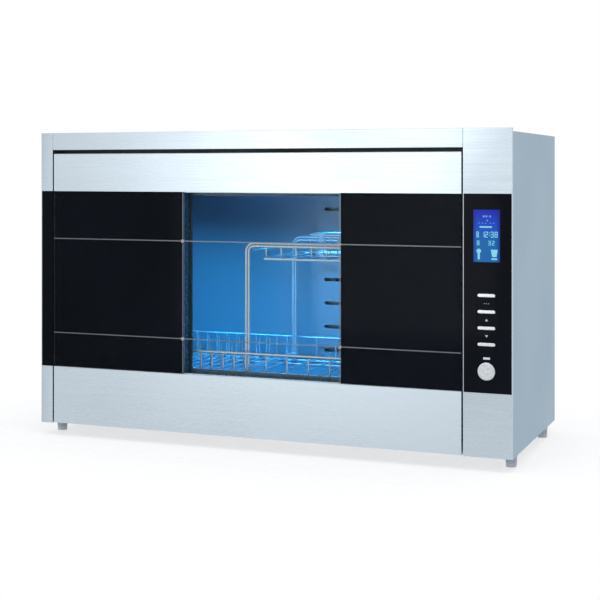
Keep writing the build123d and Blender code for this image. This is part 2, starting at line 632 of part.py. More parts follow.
def make_air_duct_cover():
    """Upright cover on the back wall; its slots spread the fan's air."""
    x1 = DUCT_LEFT + DUCT_WIDTH
    y0 = CHAMBER_Y1 - DUCT_DEPTH
    cover = block(DUCT_LEFT, x1, y0, CHAMBER_Y1, CHAMBER_Z0, CHAMBER_Z1)
    cover -= block(DUCT_LEFT + LINER_SHEET, x1 - LINER_SHEET, y0 + LINER_SHEET, CHAMBER_Y1,
                   CHAMBER_Z0 + LINER_SHEET, CHAMBER_Z1 - LINER_SHEET)
    slot = SlotOverall(DUCT_WIDTH - 2 * FLANGE, SLOT_WIDTH)
    slots = [facing(slot, FAN_X, z, y0, y0 + LINER_SHEET)
             for z in spread(CHAMBER_Z0 + 2 * FLANGE, CHAMBER_Z1 - 2 * FLANGE,
                             (CHAMBER_Z1 - CHAMBER_Z0 - 4 * FLANGE) / (DUCT_SLOTS - 1))]
    return cover - slots


def make_fan_frame():
    """Square fan housing with a motor seat held by four struts at its rear."""
    y1 = FAN_Y0 + FAN_DEPTH
    frame = facing(Rectangle(FAN_SIDE, FAN_SIDE) - Circle(FAN_BORE / 2), FAN_X, FAN_AXIS_Z,
                   FAN_Y0, y1)
    seat = facing(Circle(FAN_HUB / 2), FAN_X, FAN_AXIS_Z, y1 - FAN_PLATE, y1)
    struts = [facing(Rectangle(FAN_BORE + FAN_BITE, FAN_STRUT).rotate(Axis.Z, angle), FAN_X,
                     FAN_AXIS_Z, y1 - FAN_PLATE, y1) for angle in (45, 135)]
    bearing = facing(Circle(FAN_SHAFT / 2 + FAN_FIT), FAN_X, FAN_AXIS_Z, y1 - FAN_PLATE, y1)
    return as_one([frame, seat] + struts) - bearing


def make_fan_rotor():
    """Hub with pitched blades and a shaft that runs in the housing's seat."""
    y0 = FAN_Y0 + TOUCH
    y1 = FAN_Y0 + FAN_DEPTH - FAN_PLATE - TOUCH
    middle = Vector(FAN_X, (y0 + y1) / 2, FAN_AXIS_Z)
    hub = facing(Circle(FAN_HUB / 2), FAN_X, FAN_AXIS_Z, y0, y1)
    shaft = facing(Circle(FAN_SHAFT / 2), FAN_X, FAN_AXIS_Z, y1, FAN_Y0 + FAN_DEPTH)
    reach = FAN_BORE / 2 - FAN_TIP_GAP
    blades = []
    for i in range(FAN_BLADES):
        blade = Pos(reach / 2 + FAN_HUB / 8, 0, 0) * Rot(FAN_BLADE_PITCH, 0, 0) * Box(
            reach, FAN_BLADE_THICK, y1 - y0 + FAN_HUB)
        blades.append(Rot(0, i * 360 / FAN_BLADES, 0) * blade)
    ring = Circle(reach) - Circle(FAN_HUB / 2 - FAN_BITE)
    sweep_zone = facing(ring, FAN_X, FAN_AXIS_Z, y0, y1)
    blades = [(Pos(middle) * blade) & sweep_zone for blade in blades]
    return as_one([hub, shaft] + blades)


def make_uv_lamp():
    """Straight germicidal tube with its two end caps."""
    half = LAMP_LENGTH / 2
    tube = rod((CHAMBER_MID - half, LAMP_Y, LAMP_Z), (CHAMBER_MID + half, LAMP_Y, LAMP_Z),
               LAMP_DIAMETER)
    caps = [rod((CHAMBER_MID + s * half, LAMP_Y, LAMP_Z),
                (CHAMBER_MID + s * (half - LAMP_CAP), LAMP_Y, LAMP_Z),
                LAMP_DIAMETER + 2 * LAMP_CAP_OVER) for s in (-1, 1)]
    return as_one([tube] + caps)


def make_lamp_holders():
    """Two sockets hanging from the ceiling, one at each end of the tube."""
    holders = []
    for side in (-1, 1):
        near = CHAMBER_MID + side * LAMP_LENGTH / 2
        far = near + side * HOLDER_THICK
        z0 = LAMP_Z - LAMP_DIAMETER / 2 - HOLDER_OVER
        holders.append(block(min(near, far), max(near, far), LAMP_Y - HOLDER_WIDTH / 2,
                             LAMP_Y + HOLDER_WIDTH / 2, z0, CHAMBER_Z1))
    return holders


def make_lamp_reflector():
    """Folded sheet over the tube with its sides turned down."""
    half = LAMP_LENGTH / 2 - TOUCH
    sheet = block(CHAMBER_MID - half, CHAMBER_MID + half, LAMP_Y - REFLECTOR_WIDTH / 2,
                  LAMP_Y + REFLECTOR_WIDTH / 2, CHAMBER_Z1 - REFLECTOR_SIDE, CHAMBER_Z1)
    return sheet - block(CHAMBER_MID - half, CHAMBER_MID + half,
                         LAMP_Y - REFLECTOR_WIDTH / 2 + LINER_SHEET,
                         LAMP_Y + REFLECTOR_WIDTH / 2 - LINER_SHEET,
                         CHAMBER_Z1 - REFLECTOR_SIDE, CHAMBER_Z1 - LINER_SHEET)


def make_heater_tube():
    half = HEATER_LENGTH / 2
    return rod((CHAMBER_MID - half, HEATER_Y, HEATER_Z), (CHAMBER_MID + half, HEATER_Y, HEATER_Z),
               HEATER_DIAMETER)


def make_heater_holders():
    """Two ceramic end blocks standing on the chamber floor."""
    holders = []
    for side in (-1, 1):
        near = CHAMBER_MID + side * HEATER_LENGTH / 2
        far = near + side * HOLDER_THICK
        holders.append(block(min(near, far), max(near, far), HEATER_Y - HOLDER_WIDTH / 2,
                             HEATER_Y + HOLDER_WIDTH / 2, CHAMBER_Z0,
                             HEATER_Z + HEATER_DIAMETER / 2 + HOLDER_OVER))
    return holders


def make_heater_guard():
    """Slotted bridge over the heating tube."""
    half = HEATER_LENGTH / 2 - TOUCH
    y0 = HEATER_Y - HEATER_GUARD_WIDTH / 2
    y1 = HEATER_Y + HEATER_GUARD_WIDTH / 2
    z1 = CHAMBER_Z0 + HEATER_GUARD_HEIGHT
    guard = block(CHAMBER_MID - half, CHAMBER_MID + half, y0, y1, CHAMBER_Z0, z1)
    guard -= block(CHAMBER_MID - half, CHAMBER_MID + half, y0 + LINER_SHEET, y1 - LINER_SHEET,
                   CHAMBER_Z0, z1 - LINER_SHEET)
    slot_length = HEATER_GUARD_WIDTH - 2 * SLOT_WIDTH
    inset = 2 * SLOT_WIDTH
    for x in spread(CHAMBER_MID - half + inset, CHAMBER_MID + half - inset,
                    (HEATER_LENGTH - 2 * inset) / (HEATER_SLOTS - 1)):
        slot = extrude(Pos(x, HEATER_Y, z1 - LINER_SHEET)
                       * SlotOverall(slot_length, SLOT_WIDTH, rotation=90), amount=LINER_SHEET)
        guard -= slot
    return guard


def make_heater_reflector():
    """Bright plate on the chamber floor under the heating tube."""
    half = HEATER_LENGTH / 2 - TOUCH
    return block(CHAMBER_MID - half, CHAMBER_MID + half,
                 HEATER_Y - HEATER_GUARD_WIDTH / 2 + LINER_SHEET + TOUCH,
                 HEATER_Y + HEATER_GUARD_WIDTH / 2 - LINER_SHEET - TOUCH,
                 CHAMBER_Z0, CHAMBER_Z0 + LINER_SHEET)


# ---------------------------------------------------------------- electrics beside the chamber
def make_power_board():
    """Mains board on stand-offs against the chamber's right wall, with its components."""
    length, height = POWER_BOARD_SIZE
    y0, z0 = POWER_BOARD_Y, CHAMBER_Z0 + POWER_BOARD_RISE
    board_x = BAY_X0 + STANDOFF
    pieces = [block(board_x, board_x + BOARD, y0, y0 + length, z0, z0 + height)]
    for y in (y0 + STANDOFF, y0 + length - STANDOFF):
        for z in (z0 + STANDOFF, z0 + height - STANDOFF):
            pieces.append(rod((BAY_X0, y, z), (board_x, y, z), STANDOFF))
    for dy, dz, size_y, size_z, rise in POWER_PARTS:
        pieces.append(block(board_x + BOARD, board_x + BOARD + rise, y0 + dy, y0 + dy + size_y,
                            z0 + dz, z0 + dz + size_z))
    return pieces


def bay_block(x0, size_x, y0, size_y, z0, size_z):
    """Component placed by its lowest corner and size."""
    return block(x0, x0 + size_x, y0, y0 + size_y, z0, z0 + size_z)


def make_transformer():
    """Laminated core on the base pan with its winding standing out front and rear."""
    x0, y0 = BAY_X0 + TRANSFORMER_GAP, TRANSFORMER_Y
    z0 = BODY_Z0 + SHEET
    core = bay_block(x0, TRANSFORMER[0], y0, TRANSFORMER[1], z0, TRANSFORMER[2])
    coil = bay_block(x0 + (TRANSFORMER[0] - TRANSFORMER_COIL[0]) / 2, TRANSFORMER_COIL[0],
                     y0 + (TRANSFORMER[1] - TRANSFORMER_COIL[1]) / 2, TRANSFORMER_COIL[1],
                     z0 + (TRANSFORMER[2] - TRANSFORMER_COIL[2]) / 2, TRANSFORMER_COIL[2])
    return [core - coil, coil]


def make_lamp_ballast():
    x0, y0 = LAMP_BALLAST_PLACE
    return bay_block(x0, LAMP_BALLAST[0], y0, LAMP_BALLAST[1], CEILING_Z, LAMP_BALLAST[2])


def make_ozone_generator():
    size_x, size_y, size_z = OZONE_SIZE
    return bay_block(BAY_X0, size_x, CHAMBER_Y1 - OZONE_FROM_BACK - size_y, size_y,
                     CHAMBER_Z1 - OZONE_DROP - size_z, size_z)


def make_thermostat():
    x, y = THERMOSTAT_PLACE
    return Pos(x, y, CEILING_Z + THERMOSTAT_HEIGHT / 2) * Cylinder(
        THERMOSTAT_DIAMETER / 2, THERMOSTAT_HEIGHT)


def make_drawer_sensor():
    """Reed switch behind the front frame."""
    return bay_block(SENSOR_MID_X - SENSOR_LENGTH / 2, SENSOR_LENGTH, FRAME_Y + SHEET, SENSOR_DEPTH,
                     BODY_Z0 + SENSOR_Z - SENSOR_HEIGHT / 2, SENSOR_HEIGHT)


def make_sensor_magnet():
    """Magnet inside the drawer front that works the reed switch."""
    return bay_block(SENSOR_MID_X - MAGNET_LENGTH / 2, MAGNET_LENGTH, DRAWER_BACK_Y - MAGNET_DEPTH,
                     MAGNET_DEPTH, BODY_Z0 + SENSOR_Z - MAGNET_HEIGHT / 2, MAGNET_HEIGHT)


# ---------------------------------------------------------------- runners
def channel(x_web, x_open, y0, y1, z0, z1):
    """C section along Y with its web at x_web and its open side at x_open."""
    side = 1 if x_open > x_web else -1
    outer = block(min(x_web, x_open), max(x_web, x_open), y0, y1, z0, z1)
    inner_x0 = x_web + side * RUNNER_WALL
    return outer - block(min(inner_x0, x_open), max(inner_x0, x_open), y0, y1,
                         z0 + RUNNER_WALL, z1 - RUNNER_WALL)


def runner_pair(level):
    """Left and right members: level 0 on the chamber wall, 1 between, 2 on the carriage."""
    nest = level * (RUNNER_WALL + RUNNER_GAP)
    z0 = RUNNER_Z0 + nest
    z1 = RUNNER_Z0 + RUNNER_HEIGHT - nest
    y0 = INNER_PANEL_Y if level == 2 else RUNNER_Y0
    pieces = []
    for wall_x, side in ((CHAMBER_X0, 1), (CHAMBER_X1, -1)):
        web = wall_x + side * nest
        lip = wall_x + side * (RUNNER_THICK - RUNNER_WALL)
        if level == 2:
            web = wall_x + side * RUNNER_THICK
            lip = wall_x + side * (2 * (RUNNER_WALL + RUNNER_GAP))
        pieces.append(channel(web, lip, y0, y0 + RUNNER_LENGTH, z0, z1))
    return pieces


# ---------------------------------------------------------------- drawer front
def make_drawer_front_panel():
    """Stainless pan with a seat for the pane, a window, and a finger trough along its top."""
    x0, x1 = DRAWER_X0, DRAWER_X1
    inner_x0, inner_x1 = x0 + SHEET, x1 - SHEET
    skin_y = FRONT_Y + SHEET
    panel = block(x0, x1, FRONT_Y, DRAWER_BACK_Y, DRAWER_Z0, DRAWER_Z1)
    panel -= block(x0, x1, FRONT_Y, GLASS_Y, GLASS_Z0, GLASS_Z1)
    panel -= block(inner_x0, inner_x1, skin_y, DRAWER_BACK_Y, DRAWER_Z0 + SHEET, GLASS_Z0 - SHEET)
    panel -= block(inner_x0, inner_x1, skin_y, DRAWER_BACK_Y, GLASS_Z1 + SHEET, TROUGH_Z0 - SHEET)
    panel -= block(inner_x0, inner_x1, GLASS_Y + SHEET, DRAWER_BACK_Y,
                   GLASS_Z0 - SHEET, GLASS_Z1 + SHEET)
    panel -= block(WINDOW_LEFT, WINDOW_RIGHT, FRONT_Y, DRAWER_BACK_Y, GLASS_Z0 + SHEET,
                   GLASS_Z1 - SHEET)
    panel -= block(inner_x0, inner_x1, FRONT_Y + LIP, DRAWER_BACK_Y, TROUGH_Z0, DRAWER_Z1)
    lip_edges = panel.edges().filter_by(Axis.X).group_by(Axis.Z)[-1].group_by(Axis.Y)[0]
    return fillet(lip_edges, LIP / 2)


def make_drawer_glass():
    return block(DRAWER_X0, DRAWER_X1, FRONT_Y, GLASS_Y - PRINT, GLASS_Z0 + PLAY, GLASS_Z1 - PLAY)


def make_glass_print():
    """Black enamel fired on the back of the pane, left and right of the window."""
    return [block(x0, x1, GLASS_Y - PRINT, GLASS_Y, GLASS_Z0 + PLAY, GLASS_Z1 - PLAY)
            for x0, x1 in ((DRAWER_X0, WINDOW_LEFT), (WINDOW_RIGHT, DRAWER_X1))]


def make_accent_lines():
    """Two level and two upright inlaid strips, joined where they cross."""
    y0 = FRONT_Y - LINE_PROUD
    strips = [block(DRAWER_X0, DRAWER_X1, y0, FRONT_Y, z - LINE / 2, z + LINE / 2)
              for z in LINE_ZS]
    strips += [block(x - LINE / 2, x + LINE / 2, y0, FRONT_Y, GLASS_Z0 + PLAY, GLASS_Z1 - PLAY)
               for x in LINE_XS]
    lines = as_one(strips)
    for x in LINE_XS:
        for z in LINE_ZS:
            lines -= facing(Circle(STUD_DIAMETER / 2 + PLAY), x, z, y0, FRONT_Y)
    return lines.solids()


def make_glass_studs():
    """Polished caps that hold the pane where the lines cross."""
    studs = []
    front = FRONT_Y - STUD_PROUD
    for x in LINE_XS:
        for z in LINE_ZS:
            stud = facing(Circle(STUD_DIAMETER / 2), x, z, front, FRONT_Y)
            studs.append(fillet(edges_at(stud, front), STUD_PROUD / 2))
    return studs


def window_block(step, y0, y1):
    """Block as large as the window, widened by step on every side."""
    return block(WINDOW_LEFT - step, WINDOW_RIGHT + step, y0, y1,
                 GLASS_Z0 + SHEET - step, GLASS_Z1 - SHEET + step)


def make_window_spacer():
    """Frame between the outer and the inner pane."""
    y0 = GLASS_Y + SHEET
    y1 = DRAWER_BACK_Y - PANE_INNER
    return window_block(SPACER_WALL, y0, y1) - window_block(0.0, y0, y1)


def make_inner_window_pane():
    return window_block(SPACER_WALL, DRAWER_BACK_Y - PANE_INNER, DRAWER_BACK_Y)


def make_drawer_inner_panel():
    panel = block(DRAWER_X0 + PANEL_MARGIN, DRAWER_X1 - PANEL_MARGIN, DRAWER_BACK_Y,
                  INNER_PANEL_Y, DRAWER_Z0 + PANEL_MARGIN, DRAWER_Z1 - PANEL_MARGIN)
    return panel - window_block(-WINDOW_STEP, DRAWER_BACK_Y, INNER_PANEL_Y)


def make_drawer_gasket():
    inset = GASKET_INSET
    outset = GASKET_INSET + GASKET_WIDTH
    ring = block(CHAMBER_X0 - outset, CHAMBER_X1 + outset, INNER_PANEL_Y, FRAME_Y,
                 CHAMBER_Z0 - outset, CHAMBER_Z1 + outset)
    return ring - block(CHAMBER_X0 - inset, CHAMBER_X1 + inset, INNER_PANEL_Y, FRAME_Y,
                        CHAMBER_Z0 - inset, CHAMBER_Z1 + inset)


# ---------------------------------------------------------------- drawer inside
def make_drawer_carriage():
    """Side plates with inward ledges, joined by a bar at the rear."""
    y1 = TRAY_Y1 + BAR_GAP + SHEET
    z0 = RUNNER_Z0 + RUNNER_WALL
    pieces = []
    for side_x, side in ((SIDE_X0, 1), (SIDE_X1, -1)):
        inner_x = side_x + side * SHEET
        ledge_x = inner_x + side * LEDGE
        pieces.append(block(min(side_x, inner_x), max(side_x, inner_x), INNER_PANEL_Y, y1,
                            z0, CARRIAGE_Z1))
        pieces.append(block(min(side_x, ledge_x), max(side_x, ledge_x), INNER_PANEL_Y, y1,
                            LEDGE_Z - SHEET, LEDGE_Z))
    pieces.append(block(SIDE_X0, SIDE_X1, y1 - SHEET, y1, CARRIAGE_Z1 - BAR_HEIGHT, CARRIAGE_Z1))
    return as_one(pieces)


def make_drip_tray():
    tray = block(TRAY_X0, TRAY_X1, TRAY_Y0, TRAY_Y1, LEDGE_Z, TRAY_Z1)
    return tray - block(TRAY_X0 + LINER_SHEET, TRAY_X1 - LINER_SHEET, TRAY_Y0 + LINER_SHEET,
                        TRAY_Y1 - LINER_SHEET, LEDGE_Z + LINER_SHEET, TRAY_Z1)


# ---------------------------------------------------------------- racks
def cross_wire(x, y0, y1, z_floor, z_top, diameter):
    """Wire that runs down the front, along the floor and up the rear."""
    points = [(x, y0, z_top), (x, y0, z_floor), (x, y1, z_floor), (x, y1, z_top)]
    return bent_wire(points, WIRE_BEND, diameter)


def long_wire(y, x0, x1, joint_x, z_floor, z_top, diameter):
    """Wire down the left end, along the floor and up the right end, in halves from joint_x."""
    halves = [bent_wire([(joint_x, y, z_floor), (x, y, z_floor), (x, y, z_top)],
                        WIRE_BEND, diameter) for x in (x0, x1)]
    return halves[0] + halves[1]


def make_lower_rack():
    """Welded wire basket: close wires and pegs for plates, wider ones for bowls."""
    loops = [loop_wire(RACK_X0 + inset, RACK_X1 - inset, RACK_Y0 + inset, RACK_Y1 - inset, z,
                       2 * WIRE_BEND, RIM_WIRE)
             for z, inset in ((RACK_BASE_Z, RACK_OVERHANG), (RIM_Z, 0.0))]
    y0 = RACK_Y0 + HANG
    y1 = RACK_Y1 - HANG
    places = spread(FLOOR_X0, PLATE_END, PLATE_PITCH) + spread(BOWL_START, FLOOR_X1, BOWL_PITCH)
    wires = [cross_wire(x, y0, y1, RACK_FLOOR_Z, RIM_Z, WIRE) for x in places]
    under_z = RACK_FLOOR_Z - WIRE + LONG_WELD
    long_ys = [RACK_Y0 + LONG_WIRE_INSET, RACK_Y1 - LONG_WIRE_INSET]
    wires += [long_wire(y, RACK_X0 + HANG, RACK_X1 - HANG, (PLATE_END + BOWL_START) / 2,
                        under_z, RIM_Z, WIRE) for y in long_ys]
    pegs = [rod((x + PLATE_PITCH / 2, y, under_z), (x + PLATE_PITCH / 2, y, under_z + PEG_HEIGHT),
                PEG_WIRE) for x in spread(FLOOR_X0, PLATE_END, PLATE_PITCH)[:-1] for y in long_ys]
    return as_one(loops + wires + pegs)


def make_upper_rack():
    """Wire bench that stands in the lower rack, with a sunk deck for cups."""
    wires = []
    for y in (TIER_Y0, TIER_Y1):
        for step in (0.0, TIER_STEP):
            points = [(TIER_LEFT + step, y, TIER_FOOT_Z), (TIER_LEFT + step, y, TIER_Z - step),
                      (FLOOR_X1 - step, y, TIER_Z - step), (FLOOR_X1 - step, y, TIER_FOOT_Z)]
            wires.append(bent_wire(points, 2 * WIRE_BEND - step, RIM_WIRE))
    for x in spread(TIER_LEFT + TIER_FIRST, FLOOR_X1 - TIER_FIRST, TIER_PITCH):
        wires.append(cross_wire(x, TIER_Y0 + HANG, TIER_Y1 - HANG, DECK_Z, TIER_Z, WIRE))
    under_z = DECK_Z - HANG
    for y in (TIER_Y0 + HANG + WIRE_BEND, TIER_Y1 - HANG - WIRE_BEND):
        wires.append(rod((TIER_LEFT + TIER_FIRST - WIRE_BEND, y, under_z),
                         (FLOOR_X1 - TIER_FIRST + WIRE_BEND, y, under_z), RIM_WIRE))
    end_zs = (TIER_Z, TIER_FOOT_Z + 2 * RIM_WIRE)
    for x in (TIER_LEFT, FLOOR_X1):
        for z in end_zs:
            level = z - 2 * WIRE_BEND if z == TIER_Z else z
            wires.append(rod((x, TIER_Y0, level), (x, TIER_Y1, level), RIM_WIRE))
    for y in (TIER_Y0, TIER_Y1):
        for x in (TIER_LEFT, FLOOR_X1 - TIER_STEP):
            wires.append(rod((x, y, TIER_FOOT_Z + 2 * RIM_WIRE),
                             (x + TIER_STEP, y, TIER_FOOT_Z + 2 * RIM_WIRE), WIRE))
    return as_one(wires)


def make_cutlery_basket():
    """Small wire basket that stands on the upper rack's deck."""
    hang = (BASKET_RIM + BASKET_WIRE) / 2 - WELD
    base_z = DECK_Z + WIRE / 2 + TOUCH + BASKET_RIM / 2
    rim_z = base_z + BASKET_HEIGHT
    x0, x1 = BASKET_LEFT, BASKET_LEFT + BASKET_LENGTH
    y0 = TIER_Y0 + HANG + WIRE + 2 * BASKET_RIM
    y1 = y0 + BASKET_DEPTH
    loops = [loop_wire(x0 + inset, x1 - inset, y0 + inset, y1 - inset, z, WIRE_BEND, BASKET_RIM)
             for z, inset in ((base_z, BASKET_OVERHANG), (rim_z, 0.0))]
    floor_z = base_z + hang
    wires = [cross_wire(x, y0 + hang, y1 - hang, floor_z, rim_z, BASKET_WIRE)
             for x in spread(x0 + 2 * BASKET_PITCH, x1 - 2 * BASKET_PITCH, BASKET_PITCH)]
    under_z = floor_z + BASKET_WIRE - WELD
    wires += [long_wire(y, x0 + hang, x1 - hang, x0 + BASKET_LENGTH / 2 + BASKET_PITCH / 4,
                        under_z, rim_z, BASKET_WIRE)
              for y in spread(y0 + 2 * BASKET_PITCH, y1 - 2 * BASKET_PITCH, BASKET_PITCH)]
    return as_one(loops + wires)


# ---------------------------------------------------------------- write every node
NODES = {
    "outer_casing": make_outer_casing,
    "base_pan": make_base_pan,
    "back_cover": make_back_cover,
    "front_frame": make_front_frame,
    "left_stile": make_left_stile,
    "left_stile_glass": make_left_stile_glass,
    "top_fascia": make_top_fascia,
    "groove_trim": make_groove_trim,
    "control_column": make_control_column,
    "control_glass": make_control_glass,
    "display_lens": lambda: display_block(FRONT_Y, GLASS_Y, 0.0),
    "display_module": lambda: display_block(GLASS_Y, BOARD_Y, DISPLAY_BEZEL),
    "button_carrier": make_button_carrier,
    "control_board": make_control_board,
    "indicator_lens": make_indicator_lens,
    "power_button": make_power_button,
    "chamber_wrap": make_chamber_wrap,
    "chamber_back_wall": make_chamber_back_wall,
    "air_duct_cover": make_air_duct_cover,
    "fan_frame": make_fan_frame,
    "fan_rotor": make_fan_rotor,
    "uv_lamp": make_uv_lamp,
    "lamp_holders": make_lamp_holders,
    "lamp_reflector": make_lamp_reflector,
    "heater_tube": make_heater_tube,
    "heater_holders": make_heater_holders,
    "heater_reflector": make_heater_reflector,
    "heater_guard": make_heater_guard,
    "power_board": make_power_board,
    "transformer": make_transformer,
    "lamp_ballast": make_lamp_ballast,
    "ozone_generator": make_ozone_generator,
    "thermostat": make_thermostat,
    "cord_gland": make_cord_gland,
    "drawer_sensor": make_drawer_sensor,
    "feet": make_feet,
    "foot_screws": make_foot_screws,
    "casing_screws": make_casing_screws,
    "runner_rails": lambda: runner_pair(0),
    "runner_slides": lambda: runner_pair(1),
    "runner_inner_rails": lambda: runner_pair(2),
    "drawer_front_panel": make_drawer_front_panel,
    "drawer_glass": make_drawer_glass,
    "glass_print": make_glass_print,
    "accent_lines": make_accent_lines,
    "glass_studs": make_glass_studs,
    "window_spacer": make_window_spacer,
    "drawer_inner_panel": make_drawer_inner_panel,
    "inner_window_pane": make_inner_window_pane,
    "drawer_gasket": make_drawer_gasket,
    "sensor_magnet": make_sensor_magnet,
    "drawer_carriage": make_drawer_carriage,
    "drip_tray": make_drip_tray,
    "lower_rack": make_lower_rack,
    "upper_rack": make_upper_rack,
    "cutlery_basket": make_cutlery_basket,
}

os.makedirs("parts", exist_ok=True)
for node_name, make_node in NODES.items():
    save(node_name, make_node())
for button_name, button_z in zip(BUTTON_NAMES, BUTTON_ZS):
    save(button_name, make_push_button(button_z))
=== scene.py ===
import json
import math

import bmesh
import bpy
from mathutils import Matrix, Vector

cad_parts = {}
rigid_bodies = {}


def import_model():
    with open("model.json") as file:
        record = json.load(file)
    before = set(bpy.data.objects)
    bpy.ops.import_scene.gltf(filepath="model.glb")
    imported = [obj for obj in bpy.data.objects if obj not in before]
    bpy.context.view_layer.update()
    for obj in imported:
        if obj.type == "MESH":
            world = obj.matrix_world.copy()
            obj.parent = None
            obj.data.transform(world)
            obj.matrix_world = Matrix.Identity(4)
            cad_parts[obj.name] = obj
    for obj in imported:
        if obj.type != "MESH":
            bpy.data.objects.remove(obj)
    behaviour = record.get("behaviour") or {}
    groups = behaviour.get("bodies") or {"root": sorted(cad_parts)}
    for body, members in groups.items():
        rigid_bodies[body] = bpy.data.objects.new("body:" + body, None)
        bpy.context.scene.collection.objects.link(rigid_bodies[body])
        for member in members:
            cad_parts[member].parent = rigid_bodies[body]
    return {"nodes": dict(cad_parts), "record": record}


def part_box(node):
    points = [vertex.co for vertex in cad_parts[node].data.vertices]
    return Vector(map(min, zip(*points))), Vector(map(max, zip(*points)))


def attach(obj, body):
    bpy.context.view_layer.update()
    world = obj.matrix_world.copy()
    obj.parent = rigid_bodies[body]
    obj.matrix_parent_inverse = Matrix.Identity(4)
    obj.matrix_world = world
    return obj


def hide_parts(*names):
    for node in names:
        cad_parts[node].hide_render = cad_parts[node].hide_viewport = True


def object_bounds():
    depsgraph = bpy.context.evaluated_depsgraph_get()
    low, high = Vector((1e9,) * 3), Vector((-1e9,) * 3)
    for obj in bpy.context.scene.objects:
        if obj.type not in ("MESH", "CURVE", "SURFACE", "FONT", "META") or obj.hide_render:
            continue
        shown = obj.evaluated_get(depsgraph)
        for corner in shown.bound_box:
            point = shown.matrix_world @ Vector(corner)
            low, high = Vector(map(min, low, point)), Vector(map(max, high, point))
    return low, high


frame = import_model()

CAD_BOX = [list(corner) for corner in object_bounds()]
NODES = frame["nodes"]
MM = 0.001

# ---------------------------------------------------------------- camera and stage
FRAME_PIXELS = 600
FOCAL_PIXELS = 1315.0
HORIZON_PIXEL = 171.3
SENSOR_MM = 36.0
CAMERA_AZIMUTH = 21.5  # degrees to the right of the front's normal
CAMERA_PLACE = Vector((0.8144, -2.0631, 0.441))
WORLD_LEVEL = 0.85  # strength of the light that the world gives
WORLD_BELOW = (0.35, (0.50, 0.56, 0.62))  # share of the height, colour
WORLD_ABOVE = (0.85, (0.92, 0.96, 1.0))
FRONT_SOFTBOX = dict(place=(-0.95, -3.1, 0.60), target=(0.06, 0.0, 0.42), size=(1.25, 1.6),
                     power=11.5)  # seen in the front's steel, so its middle is the brightest
TOP_SOFTBOX = dict(place=(0.3, -0.4, 2.4), target=(0.0, 0.0, 0.2), size=(2.4, 1.6), power=22)
CHAMBER_LIGHT = dict(size=(0.62, 0.05), power=1.1, colour=(0.04, 0.47, 1.0))
CHAMBER_SPREAD = 80  # degrees
FLOOR_RADIUS = 1.3
FLOOR_DROP = 0.0004  # below the feet, so that the two do not flicker
FLOOR_COVER = 0.42  # opacity of the floor at the cabinet
FLOOR_FADE = (0.0, 0.26)  # from that to gone, metres outside the cabinet


def add_camera():
    camera = bpy.data.objects.new("camera", bpy.data.cameras.new("camera"))
    camera.data.sensor_width = SENSOR_MM
    camera.data.lens = FOCAL_PIXELS / FRAME_PIXELS * SENSOR_MM
    camera.data.shift_y = (HORIZON_PIXEL - FRAME_PIXELS / 2) / FRAME_PIXELS
    camera.data.clip_start = 0.05
    camera.location = CAMERA_PLACE
    camera.rotation_euler = (math.radians(90), 0, math.radians(CAMERA_AZIMUTH))
    bpy.context.scene.collection.objects.link(camera)
    bpy.context.scene.camera = camera


def add_world():
    """Plain studio: white to the eye and in metal and glass, graded in the light it gives."""
    world = bpy.data.worlds.new("studio")
    bpy.context.scene.world = world
    world.use_nodes = True
    nodes, links = world.node_tree.nodes, world.node_tree.links
    nodes.clear()
    out = nodes.new("ShaderNodeOutputWorld")
    mix = nodes.new("ShaderNodeMixShader")
    path = nodes.new("ShaderNodeLightPath")
    light = nodes.new("ShaderNodeBackground")
    white = nodes.new("ShaderNodeBackground")
    white.inputs["Color"].default_value = (1, 1, 1, 1)
    coords = nodes.new("ShaderNodeTexCoord")
    split = nodes.new("ShaderNodeSeparateXYZ")
    ramp = nodes.new("ShaderNodeValToRGB")
    for element, (share, colour) in zip(ramp.color_ramp.elements, (WORLD_BELOW, WORLD_ABOVE)):
        element.position = share
        element.color = (*colour, 1)
    level = nodes.new("ShaderNodeMapRange")
    level.inputs["From Min"].default_value = -1
    links.new(coords.outputs["Generated"], split.inputs[0])
    links.new(split.outputs["Z"], level.inputs["Value"])
    links.new(level.outputs[0], ramp.inputs[0])
    links.new(ramp.outputs[0], light.inputs["Color"])
    light.inputs["Strength"].default_value = WORLD_LEVEL
    seen = path.outputs["Is Camera Ray"]
    for ray in ("Is Glossy Ray", "Is Transmission Ray"):
        either = nodes.new("ShaderNodeMath")
        either.operation = "MAXIMUM"
        links.new(seen, either.inputs[0])
        links.new(path.outputs[ray], either.inputs[1])
        seen = either.outputs[0]
    links.new(seen, mix.inputs[0])
    links.new(light.outputs[0], mix.inputs[1])
    links.new(white.outputs[0], mix.inputs[2])
    links.new(mix.outputs[0], out.inputs[0])


def add_area(name, place, target, size, power, colour=(1, 1, 1)):
    light = bpy.data.objects.new(name, bpy.data.lights.new(name, "AREA"))
    light.data.shape = "RECTANGLE"
    light.data.size, light.data.size_y = size
    light.data.energy = power
    light.data.color = colour
    light.location = place
    aim = Vector(target) - Vector(place)
    light.rotation_euler = aim.to_track_quat("-Z", "Y").to_euler()
    bpy.context.scene.collection.objects.link(light)
    return light


def add_lights():
    """Two softboxes outside, and the lamp's blue light from under the chamber's ceiling."""
    add_area("front_softbox", **FRONT_SOFTBOX)
    add_area("top_softbox", **TOP_SOFTBOX)
    wall_low, wall_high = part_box("chamber_back_wall")
    middle_x = (wall_low.x + wall_high.x) / 2
    place = (middle_x, wall_low.y - 220 * MM, wall_high.z - 12 * MM)
    target = (middle_x, wall_low.y - 40 * MM, wall_low.z + 50 * MM)
    glow = add_area("chamber_glow", place, target, **CHAMBER_LIGHT)
    glow.data.spread = math.radians(CHAMBER_SPREAD)


